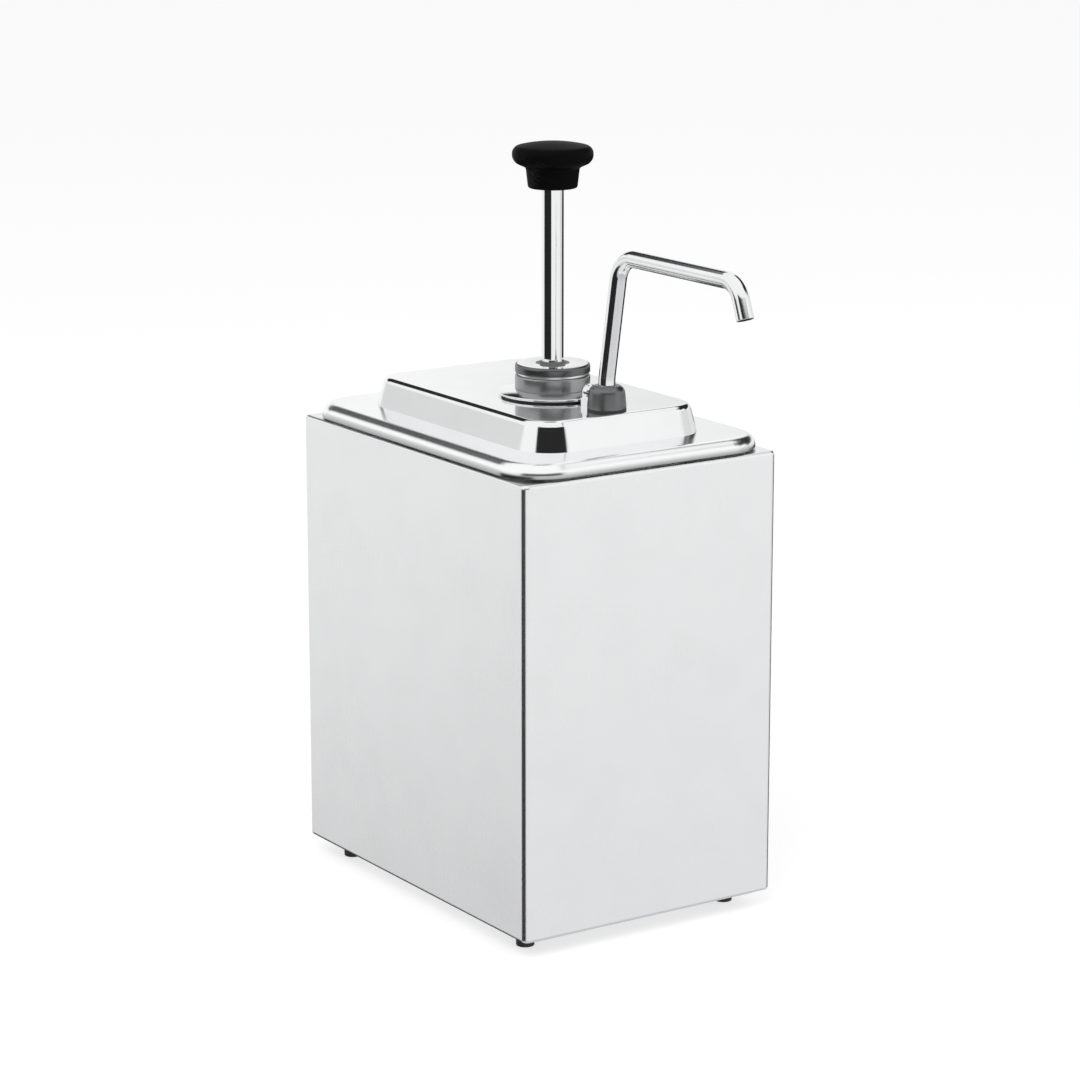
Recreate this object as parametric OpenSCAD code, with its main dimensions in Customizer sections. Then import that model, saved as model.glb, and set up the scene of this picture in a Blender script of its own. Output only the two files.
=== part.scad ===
// Counter-top sauce pump dispenser.
// A folded steel housing holds a lift-out pan, and the lid carries a plunger pump with a swan-neck spout.
// Millimetres. The origin is the middle of the housing's footprint on the counter.
// +Z is up, and the spout points to -Y, the front.

/* [Housing] */
// Width of the housing, side to side
body_w = 170; // [160:1:200]
// Depth of the housing, front to back
body_d = 238; // [228:1:280]
// Height of the housing, without its feet
body_h = 260; // [250:1:320]
// Thickness of the housing's sheet
body_sheet = 1; // [0.8:0.1:1.5]
// Outside radius of the housing's upright corners
corner_r = 3.5; // [3:0.5:6]
// Outside radius of the folds along the housing's top and bottom edges
fold_r = 2; // [1.6:0.2:2.8]
// Width of the return fold under the housing
base_fold_w = 28; // [25:1:34]

/* [Base and feet] */
// Thickness of the base plate
base_sheet = 1.2; // [1:0.1:2]
// Distance from the housing's outside to the base plate's edge
base_inset = 4; // [3:0.5:6]
// Height of the housing's underside above the counter
foot_h = 10; // [8:0.5:16]
// Diameter of a foot at its top
foot_d = 11; // [10:0.5:16]
// Diameter of a foot where it meets the counter
foot_tip_d = 10.4; // [9.4:0.2:11]
// Distance from the housing's sides to a foot's axis
foot_inset = 16; // [12:0.5:18]
// Distance from the housing's front and back to a foot's axis
foot_setback = 24; // [14:0.5:40]
// Distance of the side screws in front of and behind the middle
side_screw_y = 38; // [25:1:60]
// Diameter of the base screws
base_screw_d = 3; // [2.5:0.5:3]
// Radial clearance of the base screws in their holes
screw_clear = 0.2; // [0.1:0.05:0.4]

/* [Pan] */
// Width of the pan's mouth
pan_w = 104; // [96:1:112]
// Depth of the pan's mouth, front to back
pan_d = 172; // [168:1:180]
// Inside height of the pan, from its flange to its floor
pan_h = 225; // [200:1:235]
// Radius of the pan's upright corners
pan_corner_r = 15; // [14:0.5:20]
// Radius between the pan's walls and floor
pan_floor_r = 12; // [6:0.5:13]
// Thickness of the pan's sheet
pan_sheet = 1; // [0.8:0.1:1.4]
// Height of the pan's flange above the deck
flange_rise = 9; // [8:0.5:12]
// Radius of the crowned shoulder along the flange's edge
shoulder_r = 7; // [4:0.5:7]
// Plan radius of the flange's corners
flange_corner_r = 28; // [22:1:36]
// Distance from the housing's outside to the flange's edge
flange_inset = 0.6; // [0.2:0.1:2]
// Shadow gap between the flange's rim and the deck
rim_gap = 1.4; // [0.8:0.1:2]
// Radius of the bend from the flange into the pan
mouth_r = 3; // [2:0.5:4]
// Gap between the pan's wall and the lip of the deck
pan_clear = 2.5; // [2.5:0.5:4]

/* [Lid] */
// Height of the lid
lid_h = 16.5; // [14:0.5:22]
// How far the lid reaches past the pan's mouth on each side
lid_overlap = 7; // [6:0.5:9]
// How far the lid's sides lean in from bottom to top
lid_lean = 4.5; // [2:0.5:6]
// Outside radius of the bend round the lid's top
lid_bend_r = 4; // [2.5:0.5:5]
// Thickness of the lid's sheet
lid_sheet = 1; // [0.8:0.1:1.4]
// Depth of the locating lip below the lid
lip_h = 8; // [4:0.5:14]
// Gap between the locating lip and the pan's wall
lip_clear = 0.75; // [0.4:0.05:1.2]

/* [Pump head] */
// Distance from the pan's front wall to the spout's axis
spout_inset = 12.5; // [12:0.5:15]
// Thickness of the gaskets on the lid
gasket_t = 1; // [0.6:0.1:1.5]
// Diameter of the base flange
flange_d = 62; // [58:1:62]
// Thickness of the base flange at its middle
flange_t = 3; // [2.5:0.25:5]
// Thickness of the base flange at its edge
flange_edge_t = 1.3; // [1:0.1:2]
// Diameter of the two-tier collar
collar_d = 43; // [40:0.5:46]
// Height of the collar's lower tier
collar_h = 8; // [6:0.5:12]
// Height of the groove between the tiers
groove_h = 1.3; // [0.8:0.1:2]
// Depth of the groove between the tiers
groove_depth = 1.5; // [0.8:0.1:2.5]
// Height of the collar's upper tier
cap_h = 5; // [4.5:0.5:8]
// Length of the gland cap's spigot inside the barrel
spigot_l = 10; // [8:0.5:14]
// Diameter of the threaded hub that passes through the lid
hub_d = 33; // [31:0.5:36]
// Outside diameter of the ring nut under the lid
locknut_d = 44; // [40:0.5:48]
// Height of the nuts under the lid
locknut_h = 7; // [5:0.5:8]
// Thickness of the support plate under the lid
plate_t = 2; // [1.5:0.25:3]
// Radial clearance of the holes in the lid and support plate
hole_clear = 0.3; // [0.2:0.05:0.6]

/* [Plunger] */
// Diameter of the plunger rod
rod_d = 12.5; // [10:0.5:13]
// Travel of the plunger
stroke_l = 90; // [60:1:95]
// Gap left between knob and collar at full travel
press_gap = 10; // [4:0.5:16]
// Diameter of the knob's brim
knob_d = 46; // [40:1:54]
// Height of the knob
knob_h = 26; // [24:0.5:32]
// Diameter of the knob's skirt at its foot
skirt_d = 28; // [26:0.5:32]
// Height of the knob's skirt
skirt_h = 11.5; // [8:0.5:13]
// Running clearance of the rod, piston and spout, on the radius
run_clear = 0.05; // [0.02:0.01:0.1]

/* [Pump barrel] */
// Bore of the pump barrel
bore_d = 23; // [22:0.5:25]
// Wall of the pump barrel
barrel_wall = 1.5; // [1:0.1:2]
// Height of the piston
piston_h = 14; // [12:0.5:18]
// Wire diameter of the return spring
wire_d = 1.6; // [1.2:0.1:1.8]
// Mean diameter of the return spring
coil_d = 18; // [17.8:0.1:18.2]
// Number of turns of the return spring
coil_turns = 14; // [10:1:16]
// Length of the return spring at full travel
coil_packed = 34; // [28:1:40]

/* [Valves] */
// Diameter of the valve body
valve_d = 34; // [32:0.5:38]
// Bore of the inlet valve's chamber
chamber_d = 15.6; // [15:0.2:16]
// Diameter of the inlet ball
inlet_ball_d = 12; // [11:0.25:13]
// Lift of the inlet ball
inlet_lift = 4; // [2:0.5:4]
// Outside diameter of the suction tube
suction_d = 14; // [12.5:0.5:16]
// Wall of the small tubes
tube_wall = 1.5; // [1:0.1:1.8]
// Height of the suction tube's foot above the pan's floor
suction_gap = 7; // [3:0.5:15]
// Diameter of the outlet ball
outlet_ball_d = 8.8; // [8.4:0.1:9.2]
// Lift of the outlet ball
outlet_lift = 5; // [3:0.5:7]
// Gap between a ball and its seat
ball_gap = 0.05; // [0.02:0.01:0.1]

/* [Spout] */
// Distance from the plunger's axis to the spout's axis
spout_pitch = 54.5; // [53.5:0.25:55.5]
// Outside diameter of the spout tube
spout_d = 9.5; // [8:0.25:10]
// Wall of the spout tube
spout_wall = 1; // [0.8:0.1:1.4]
// Diameter of the spout socket's foot
socket_d = 22; // [20:0.5:22]
// Height of the spout socket above the lid
socket_h = 14; // [12:0.5:20]
// Lean of the spout's riser towards the front
spout_lean = 10.5; // [0:0.5:15]
// Height from the socket's top to the middle of the spout's run
spout_rise = 70; // [55:1:90]
// Length of the spout's run between its corners
spout_run = 107; // [80:1:140]
// Bend radius at the top of the riser
crest_r = 16; // [12:0.5:22]
// Bend radius at the outlet
outlet_r = 14; // [12:0.5:18]
// Angle of the outlet in front of plumb
outlet_lean = 21; // [0:1:30]
// Height from the spout's run down to its outlet
outlet_drop = 19; // [16:0.5:40]

/* [Hidden] */
$fn = 72;

// Overshoot of a cut past the face that it opens
over = 1;
steel = "#c9cbcd";
bright_steel = "#dfe1e3";
black_rubber = "#202020";
pale_plastic = "#e8e6e0";

// Heights, from the counter up
deck_z = foot_h + body_h;
crown_z = deck_z + flange_rise;
lid_z = crown_z + lid_h;
under_lid_z = lid_z - lid_sheet;
plate_z = under_lid_z - plate_t;
pump_flange_z = lid_z + gasket_t;
collar_z = pump_flange_z + flange_t;
cap_z = collar_z + collar_h;
tier_z = cap_z + groove_h;
cap_top_z = tier_z + cap_h;
knob_z = cap_top_z + stroke_l + press_gap;
pan_floor_z = crown_z - pan_h;

// Plan places of the pump and the spout
spout_y = spout_inset - pan_d / 2;
rod_y = spout_y + spout_pitch;

// Housing and base
deck_w = pan_w + 2 * (pan_sheet + pan_clear);
deck_d = pan_d + 2 * (pan_sheet + pan_clear);
deck_corner_r = pan_corner_r + pan_sheet + pan_clear;
fold_window_r = 6;
base_screw_head_d = 2 * base_screw_d;
base_screw_head_h = 0.6 * base_screw_d;
base_nut_af = 1.75 * base_screw_d;
base_nut_h = 0.8 * base_screw_d;
base_screw_tail = 2;
fold_top_z = foot_h + body_sheet;
base_under_z = foot_h - base_sheet;
base_screw_top_z = fold_top_z + base_nut_h + base_screw_tail;
foot_recess_clear = 0.3;
foot_recess_d = base_screw_head_d + 2 * foot_recess_clear;
foot_recess_h = base_under_z / 2;
foot_round = 0.5;
foot_x = body_w / 2 - foot_inset;
foot_y = body_d / 2 - foot_setback;
end_screw_y = body_d / 2 - base_fold_w / 2;
foot_spots = [for (sx = [-1, 1], sy = [-1, 1]) [sx * foot_x, sy * foot_y]];
side_spots = [for (sx = [-1, 1], sy = [-1, 1]) [sx * foot_x, sy * side_screw_y]];
end_spots = [for (sy = [-1, 1]) [0, sy * end_screw_y]];
base_screw_spots = concat(side_spots, end_spots);

// Pan flange
flange_w = body_w - 2 * flange_inset;
flange_len = body_d - 2 * flange_inset;
shoulder_flat = 2;
shoulder_w = shoulder_r + shoulder_flat;

// Lid
lid_w = pan_w + 2 * lid_overlap;
lid_d = pan_d + 2 * lid_overlap;
lid_corner_r = pan_corner_r + lid_overlap;
lid_slope = atan(lid_lean / lid_h);

// Pump head
collar_r = collar_d / 2;
barrel_or = bore_d / 2 + barrel_wall;
hub_r = hub_d / 2;
hub_tail = 2;
hub_bottom_z = plate_z - locknut_h - hub_tail;
spigot_z = cap_z - spigot_l;
bushing_wall = 2.25;
bushing_r = rod_d / 2 + run_clear + bushing_wall;
wiper_h = 2.5;
wiper_step = 1;
wiper_r = bushing_r + wiper_step;
wiper_z = cap_top_z - wiper_h;
wiper_lip_h = 1;
wiper_lip_w = 0.9;
notch_w = 5;
notch_depth = 2.5;
edge_round = 1.2;
gasket_margin = 1.5;

// Support plate and its domed nut
plate_margin = 8;
plate_arm_w = 25;
stud_d = 6;
stud_y = (rod_y - flange_d / 2 + spout_y + socket_d / 2) / 2;
cap_nut_af = 10;
cap_nut_hex_h = 5;
cap_nut_h = 12;
cap_nut_dome_r = 4.75;
stud_rise = 7;
stud_top_z = lid_z + stud_rise;

// Plunger
rod_r = rod_d / 2;
piston_play = 2;
piston_top_z = spigot_z - piston_play;
piston_z = piston_top_z - piston_h;
piston_r = bore_d / 2 - 2 * run_clear;
piston_stud_d = 6;
piston_washer_r = 7;
piston_washer_t = 1.2;
piston_nut_af = 10;
piston_nut_h = 5;
piston_nut_z = piston_z - piston_washer_t - piston_nut_h;
piston_stud_tail = 2;
seal_cord_d = 2.4;
seal_cord_room = 0.2;
seal_ring_r = bore_d / 2 - run_clear - seal_cord_d / 2;
seal_heights = [for (share = [0.25, 0.75]) piston_z + share * piston_h];
rod_in_knob = 3;
knob_stud_d = 8;
knob_stud_l = 13;
insert_z = knob_z + rod_in_knob;
insert_r = 7;
insert_l = knob_stud_l + 1;
insert_rib_depth = 0.6;

// Return spring
coil_z = piston_z - stroke_l - coil_packed;
coil_len = piston_z - coil_z;
wire_r = wire_d / 2;
coil_rings = 8;
coil_sides = 6;
coil_end_pitch = wire_d + 0.7;
coil_pitch = (coil_len - wire_d - 2 * coil_end_pitch) / (coil_turns - 2);

// Valve body
valve_r = valve_d / 2;
barrel_seat_l = 8;
chamber_h = 20;
valve_neck_wall = 4;
valve_neck_r = suction_d / 2 + valve_neck_wall;
seat_floor_z = coil_z - chamber_h;
chamber_r = chamber_d / 2;
inlet_bore_r = 4;
inlet_seat_z = seat_floor_z - (chamber_r - inlet_bore_r);
suction_seat_l = 10;
inlet_bore_l = 6;
suction_seat_z = inlet_seat_z - inlet_bore_l;
valve_bottom_z = suction_seat_z - suction_seat_l;
valve_shoulder_rise = 2;
valve_shoulder_z = seat_floor_z + valve_shoulder_rise;
valve_cone_h = valve_r - valve_neck_r;
inlet_ball_r = inlet_ball_d / 2;
inlet_ball_z = inlet_seat_z - inlet_bore_r + inlet_ball_r * sqrt(2) + ball_gap;
stop_pin_r = 1.25;
stop_pin_z = inlet_ball_z + inlet_ball_r + inlet_lift + stop_pin_r + 0.3;
stop_pin_in = 1;
stop_pin_l = valve_d - 2 * stop_pin_in;
port_drop = 7;
port_z = coil_z - port_drop;
port_r = 3.75;
elbow_wall = 2.5;
elbow_tube_r = port_r + elbow_wall;
boss_wall = 2.5;
boss_r = elbow_tube_r + boss_wall;
boss_l = 7;
boss_seat_l = 10;
boss_face_y = rod_y - valve_r - boss_l;
elbow_end_y = boss_face_y + boss_seat_l;
suction_foot_z = pan_floor_z + suction_gap;
foot_notch_w = 5;
foot_notch_h = 6;

// Outlet valve and riser
riser_d = 11;
riser_r = riser_d / 2;
riser_bore_r = riser_r - tube_wall;
elbow_r = 9;
outlet_bore_r = 2.8;
outlet_chamber_r = riser_r - 0.2;
seat_rise = 7;
outlet_seat_z = port_z + seat_rise;
outlet_chamber_z = outlet_seat_z + outlet_chamber_r - outlet_bore_r;
outlet_ball_r = outlet_ball_d / 2;
outlet_ball_z = outlet_seat_z - outlet_bore_r + outlet_ball_r * sqrt(2) + ball_gap;
outlet_stop = sqrt(pow(outlet_ball_r, 2) - pow(riser_bore_r, 2));
riser_z = outlet_ball_z + outlet_lift + outlet_stop + 0.1;
riser_seat_l = 12;

// Spout and socket
spout_r = spout_d / 2;
spout_bore_r = spout_r - spout_wall;
socket_r = socket_d / 2;
socket_bore_r = spout_r + run_clear;
socket_z = lid_z + gasket_t;
socket_top_z = lid_z + socket_h;
socket_foot_h = 2;
socket_taper = 1.2;
socket_shoulder_r = 4;
socket_neck = [socket_r - socket_taper - socket_shoulder_r, socket_top_z - socket_shoulder_r];
socket_hub_wall = 3.25;
socket_hub_r = spout_r + socket_hub_wall;
socket_hub_tail = 4;
socket_hub_z = plate_z - locknut_h - socket_hub_tail;
sleeve_wall = 1.7;
sleeve_r = socket_hub_r - sleeve_wall;
sleeve_z = socket_hub_z;
spout_stop_t = 2;
spout_stop_r = sleeve_r - run_clear;
axial_play = 0.15;
spout_stop_drop = 4;
spout_stop_z = lid_z - spout_stop_drop;
spout_step_z = spout_stop_z + spout_stop_t + axial_play;
riser_top_z = spout_stop_z - axial_play;
socket_nut_af = 20;
spout_seal_z = (socket_z + socket_top_z) / 2;
lean_r = 20;
// The bends swell by a hair, and the straight lengths end inside them
bend_swell = 0.04;
tube_lap = 0.4;
spout_tail = 2;
spout_upright = socket_top_z + spout_tail - spout_stop_z;
riser_slant = spout_rise / cos(spout_lean);
lean_tangent = lean_r * tan(spout_lean / 2);
crest_turn = 90 - spout_lean;
crest_tangent = crest_r * tan(crest_turn / 2);
outlet_turn = 90 - outlet_lean;
outlet_tangent = outlet_r * tan(outlet_turn / 2);
riser_straight = riser_slant - lean_tangent - crest_tangent;
run_straight = spout_run - crest_tangent - outlet_tangent;
outlet_straight = outlet_drop / cos(outlet_lean) - outlet_tangent;

// Knob profile: the brim's edge is rounded above and below, and the flare meets it at a tangent
knob_edge_r = 3.5;
knob_brim_t = 3.1;
knob_dome_rise = 2.2;
knob_dome_half = knob_d / 2 - knob_edge_r;
knob_dome_r = (pow(knob_dome_half, 2) + pow(knob_dome_rise, 2)) / (2 * knob_dome_rise);
knob_brim_top = [knob_dome_half, knob_h - knob_dome_rise - knob_edge_r];
knob_brim_low = knob_brim_top - [0, knob_brim_t];
skirt_draft = 1.3;
skirt_top = [skirt_d / 2 + skirt_draft, skirt_h];
flare_reach = knob_brim_low - skirt_top;
flare_turn = atan2(flare_reach[1], flare_reach[0]) - asin(knob_edge_r / norm(flare_reach));
flare_l = sqrt(pow(norm(flare_reach), 2) - pow(knob_edge_r, 2));
flare_end = skirt_top + flare_l * [cos(flare_turn), sin(flare_turn)];

// Plain shapes

// Flat rounded rectangle
module rounded_rect(w, d, r) {
    square([w - 2 * r, d], center = true);
    square([w, d - 2 * r], center = true);
    for (sx = [-1, 1], sy = [-1, 1])
        translate([sx * (w / 2 - r), sy * (d / 2 - r)])
            circle(r);
}

// Upright plate with rounded corners, from z up
module rounded_plate(w, d, r, z, h) {
    translate([0, 0, z])
        linear_extrude(h)
            rounded_rect(w, d, r);
}

// Sweeps a profile round a rounded rectangle: profile x is measured from the corner's axis, profile y is height
module ring_sweep(w, d, r) {
    for (side = [0 : 3]) {
        along_y = side % 2 == 0;
        run = (along_y ? d : w) - 2 * r;
        reach = (along_y ? w : d) / 2 - r;
        rotate([0, 0, 90 * side]) {
            translate([reach, 0, 0])
                rotate([90, 0, 0])
                    linear_extrude(run, center = true)
                        children();
            translate([reach, run / 2, 0])
                rotate_extrude(angle = 90)
                    children();
        }
    }
}

// Half of a fold's section: x from the axis out to w, with both outer corners rounded
module folded_edge(w, h, r) {
    square([w - r, h]);
    translate([0, r])
        square([w, h - 2 * r]);
    for (y = [r, h - r])
        translate([w - r, y])
            circle(r);
}

// Cuts the half of a profile that lies behind the axis
module ahead_of_axis(reach) {
    intersection() {
        children();
        translate([0, -reach])
            square([reach, 2 * reach]);
    }
}

// Upright cylinder between two heights
module post(r, z0, z1) {
    translate([0, 0, z0])
        cylinder(r = r, h = z1 - z0);
}

// Upright ring between two heights
module ring(r_in, r_out, z0, z1) {
    difference() {
        post(r_out, z0, z1);
        post(r_in, z0 - over, z1 + over);
    }
}

// Disc between two heights whose upper edge is rounded
module rounded_disc(r, z0, z1, edge) {
    translate([0, 0, z0])
        rotate_extrude()
            ahead_of_axis(r + over) {
                union() {
                    square([r - edge, z1 - z0]);
                    square([r, z1 - z0 - edge]);
                    translate([r - edge, z1 - z0 - edge])
                        circle(edge);
                }
            }
}

// Cylinder along the front-to-back line, between two places
module bar_y(r, y0, y1, z) {
    translate([0, y1, z])
        rotate([90, 0, 0])
            cylinder(r = r, h = y1 - y0);
}

// Hexagonal prism between two heights, with flats to the sides
module hex_post(across_flats, z0, z1) {
    translate([0, 0, z0])
        rotate([0, 0, 30])
            cylinder(r = across_flats / sqrt(3), h = z1 - z0, $fn = 6);
}

// Round ring of round section
module cord_ring(ring_radius, cord_d, z) {
    translate([0, 0, z])
        rotate_extrude()
            translate([ring_radius, 0])
                circle(d = cord_d);
}

// Pan-head screw that stands upright on its head
module pan_head_screw(head_z, top_z) {
    post(base_screw_d / 2, head_z, top_z);
    rounded_under_head(head_z);
}

// Head of a screw below the height given
module rounded_under_head(head_z) {
    translate([0, 0, head_z])
        mirror([0, 0, 1])
            rounded_disc(base_screw_head_d / 2, 0, base_screw_head_h, base_screw_head_h / 2);
}

module at_pump() {
    translate([0, rod_y, 0])
        children();
}

module at_spout() {
    translate([0, spout_y, 0])
        children();
}

// Housing

module housing_shell() {
    color(steel)
        difference() {
            union() {
                translate([0, 0, foot_h])
                    ring_sweep(body_w, body_d, corner_r)
                        wall_section();
                sheet_between(deck_z - body_sheet, deck_w, deck_d, deck_corner_r);
                sheet_between(foot_h, body_w - 2 * base_fold_w, body_d - 2 * base_fold_w, fold_window_r);
                deck_lip();
            }
            for (spot = concat(foot_spots, base_screw_spots))
                translate(spot)
                    post(base_screw_d / 2 + screw_clear, foot_h - over, fold_top_z + over);
        }
}

// Section of the folded wall, with both folds
module wall_section() {
    ahead_of_axis(body_h + over)
        difference() {
            folded_edge(corner_r, body_h, fold_r);
            translate([0, body_sheet])
                folded_edge(corner_r - body_sheet, body_h - 2 * body_sheet, fold_r - body_sheet);
        }
}

// Flat sheet inside the folds, with an opening
module sheet_between(z, open_w, open_d, open_r) {
    translate([0, 0, z])
        linear_extrude(body_sheet)
            difference() {
                square([body_w - 2 * corner_r, body_d - 2 * corner_r], center = true);
                rounded_rect(open_w, open_d, open_r);
            }
}

// Upturned lip round the deck's opening, on which the pan's flange rests
module deck_lip() {
    lip_z = deck_z - body_sheet;
    lip_rise = crown_z - pan_sheet - lip_z;
    difference() {
        rounded_plate(deck_w + 2 * body_sheet, deck_d + 2 * body_sheet, deck_corner_r + body_sheet, lip_z, lip_rise);
        rounded_plate(deck_w, deck_d, deck_corner_r, lip_z - over, lip_rise + 2 * over);
    }
}

module base_plate() {
    plate_w = body_w - 2 * base_inset;
    plate_d = body_d - 2 * base_inset;
    color(steel)
        difference() {
            rounded_plate(plate_w, plate_d, fold_window_r, base_under_z, base_sheet);
            for (spot = concat(foot_spots, base_screw_spots))
                translate(spot)
                    post(base_screw_d / 2 + screw_clear, base_under_z - over, foot_h + over);
        }
}

module base_screws() {
    color(bright_steel)
        for (spot = base_screw_spots)
            translate(spot)
                pan_head_screw(base_under_z, base_screw_top_z);
}

module foot_screws() {
    color(bright_steel)
        for (spot = foot_spots)
            translate(spot)
                pan_head_screw(foot_recess_h, base_screw_top_z);
}

module base_nuts() {
    color(bright_steel)
        for (spot = concat(foot_spots, base_screw_spots))
            translate(spot)
                difference() {
                    hex_post(base_nut_af, fold_top_z, fold_top_z + base_nut_h);
                    post(base_screw_d / 2, fold_top_z - over, fold_top_z + base_nut_h + over);
                }
}

// Tapered rubber foot with a recess for its screw's head
module foot(spot) {
    color(black_rubber)
        translate(spot)
            difference() {
                rotate_extrude()
                    foot_section();
                post(foot_recess_d / 2, -over, foot_recess_h);
                post(base_screw_d / 2 + screw_clear, -over, base_under_z + over);
            }
}

module foot_section() {
    polygon([
        [0, 0],
        [foot_tip_d / 2 - foot_round, 0],
        [foot_tip_d / 2, foot_round],
        [foot_d / 2, base_under_z - foot_round],
        [foot_d / 2, base_under_z],
        [0, base_under_z]
    ]);
}

module foot_front_left() { foot([-foot_x, -foot_y]); }

module foot_front_right() { foot([foot_x, -foot_y]); }

module foot_rear_left() { foot([-foot_x, foot_y]); }

module foot_rear_right() { foot([foot_x, foot_y]); }

// Pan

module food_pan() {
    flat_w = flange_w - 2 * shoulder_w;
    flat_d = flange_len - 2 * shoulder_w;
    color(bright_steel) {
        ring_sweep(flange_w, flange_len, flange_corner_r)
            rim_section();
        translate([0, 0, crown_z - pan_sheet])
            linear_extrude(pan_sheet)
                difference() {
                    rounded_rect(flat_w, flat_d, flange_corner_r - shoulder_w);
                    rounded_rect(pan_w + 2 * mouth_r, pan_d + 2 * mouth_r, pan_corner_r + mouth_r);
                }
        ring_sweep(pan_w, pan_d, pan_corner_r)
            pan_wall_section();
        translate([0, 0, pan_floor_z - pan_sheet / 2])
            cube([pan_w - 2 * pan_corner_r, pan_d - 2 * pan_corner_r, pan_sheet], center = true);
    }
}

// Crowned shoulder and turned-down rim along the flange's edge
module rim_section() {
    rim_z = deck_z + rim_gap;
    inner_x = flange_corner_r - shoulder_w;
    difference() {
        shoulder_shape(inner_x, rim_z, shoulder_w, crown_z - rim_z, shoulder_r);
        shoulder_shape(
            inner_x - over, rim_z - over, shoulder_w - pan_sheet + over, crown_z - rim_z - pan_sheet + over,
            shoulder_r - pan_sheet
        );
    }
}

// Block whose upper outer corner is rounded
module shoulder_shape(x, z, w, h, r) {
    translate([x, z])
        intersection() {
            square([w, h]);
            union() {
                square([w - r, h]);
                square([w, h - r]);
                translate([w - r, h - r])
                    circle(r);
            }
        }
}

// Mouth bend, upright wall, floor bend and the outer part of the floor
module pan_wall_section() {
    wall_x = pan_corner_r;
    floor_bend = [wall_x - pan_floor_r, pan_floor_z + pan_floor_r];
    bent_strip([wall_x + mouth_r, crown_z - mouth_r], mouth_r - pan_sheet, mouth_r, [-1, 1]);
    translate([wall_x, floor_bend[1]])
        square([pan_sheet, crown_z - mouth_r - floor_bend[1]]);
    bent_strip(floor_bend, pan_floor_r, pan_floor_r + pan_sheet, [1, -1]);
    translate([0, pan_floor_z - pan_sheet])
        square([floor_bend[0], pan_sheet]);
}

// Quarter of a ring about a centre, in the quadrant given
module bent_strip(centre, r_in, r_out, quadrant) {
    translate(centre)
        intersection() {
            difference() {
                circle(r_out);
                circle(r_in);
            }
            translate(quadrant * r_out / 2)
                square(r_out, center = true);
        }
}

// Lid

module lid() {
    color(bright_steel)
        difference() {
            union() {
                translate([0, 0, crown_z])
                    ring_sweep(lid_w, lid_d, lid_corner_r)
                        lid_section();
                translate([0, 0, lid_z - lid_sheet / 2])
                    cube([lid_w - 2 * lid_corner_r, lid_d - 2 * lid_corner_r, lid_sheet], center = true);
            }
            at_pump()
                post(hub_r + hole_clear, under_lid_z - over, lid_z + over);
            at_spout()
                post(socket_hub_r + hole_clear, under_lid_z - over, lid_z + over);
            translate([0, stud_y, 0])
                post(stud_d / 2 + hole_clear, under_lid_z - over, lid_z + over);
        }
}

// Sloped side, bend into the top, inward rim and locating lip
module lid_section() {
    lip_x = pan_corner_r - lip_clear;
    difference() {
        lid_shape(0, lid_bend_r);
        lid_shape(lid_sheet, lid_bend_r - lid_sheet);
        translate([-over, -over])
            square([lip_x - lid_sheet + over, lid_sheet + 2 * over]);
    }
    translate([lip_x - lid_sheet, -lip_h])
        square([lid_sheet, lip_h + lid_sheet]);
}

// Filled half section of the lid, set in by the thickness given
module lid_shape(inset, bend) {
    bend_centre = [
        lid_corner_r - (lid_h - lid_bend_r) * tan(lid_slope) - lid_bend_r / cos(lid_slope),
        lid_h - lid_bend_r
    ];
    foot_x = lid_corner_r - inset / cos(lid_slope) - inset * tan(lid_slope);
    polygon([
        [0, inset],
        [foot_x, inset],
        bend_centre + bend * [cos(lid_slope), sin(lid_slope)],
        bend_centre,
        [bend_centre[0], lid_h - inset],
        [0, lid_h - inset]
    ]);
    translate(bend_centre)
        circle(bend);
}

// Pump head

module pump_flange() {
    color(bright_steel)
        at_pump()
            difference() {
                union() {
                    post(hub_r, hub_bottom_z, pump_flange_z + over);
                    translate([0, 0, pump_flange_z])
                        rotate_extrude()
                            polygon([
                                [0, 0],
                                [flange_d / 2, 0],
                                [flange_d / 2, flange_edge_t],
                                [collar_r, flange_t],
                                [0, flange_t]
                            ]);
                }
                post(barrel_or, hub_bottom_z - over, collar_z + over);
            }
}

module flange_gasket() {
    color(black_rubber)
        at_pump()
            ring(hub_r, flange_d / 2 - gasket_margin, lid_z, pump_flange_z);
}

module union_collar() {
    color(bright_steel)
        at_pump()
            difference() {
                rounded_disc(collar_r, collar_z, cap_z, edge_round);
                post(barrel_or, collar_z - over, cap_z + over);
            }
}

module gland_cap() {
    color(bright_steel)
        at_pump()
            difference() {
                union() {
                    post(bore_d / 2, spigot_z, cap_z + over);
                    post(collar_r - groove_depth, cap_z, tier_z + over);
                    rounded_disc(collar_r, tier_z, cap_top_z, edge_round);
                }
                post(bushing_r, spigot_z - over, wiper_z + over);
                post(wiper_r, wiper_z, cap_top_z + over);
            }
}

module rod_bushing() {
    color(pale_plastic)
        at_pump()
            ring(rod_r + run_clear, bushing_r, spigot_z, wiper_z);
}

module rod_wiper() {
    lip_z = cap_top_z + wiper_lip_h;
    color(pale_plastic)
        at_pump()
            difference() {
                union() {
                    post(wiper_r, wiper_z, cap_top_z);
                    post(rod_r + run_clear + wiper_lip_w, cap_top_z - over, lip_z);
                }
                post(rod_r + run_clear, wiper_z - over, lip_z + over);
            }
}

module pump_locknut() {
    nut_z = plate_z - locknut_h;
    color(steel)
        at_pump()
            difference() {
                ring(hub_r, locknut_d / 2, nut_z, plate_z);
                for (turn = [0 : 90 : 270])
                    rotate([0, 0, turn])
                        translate([locknut_d / 2, 0, plate_z - locknut_h / 2])
                            cube([2 * notch_depth, notch_w, locknut_h + 2 * over], center = true);
            }
}

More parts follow.
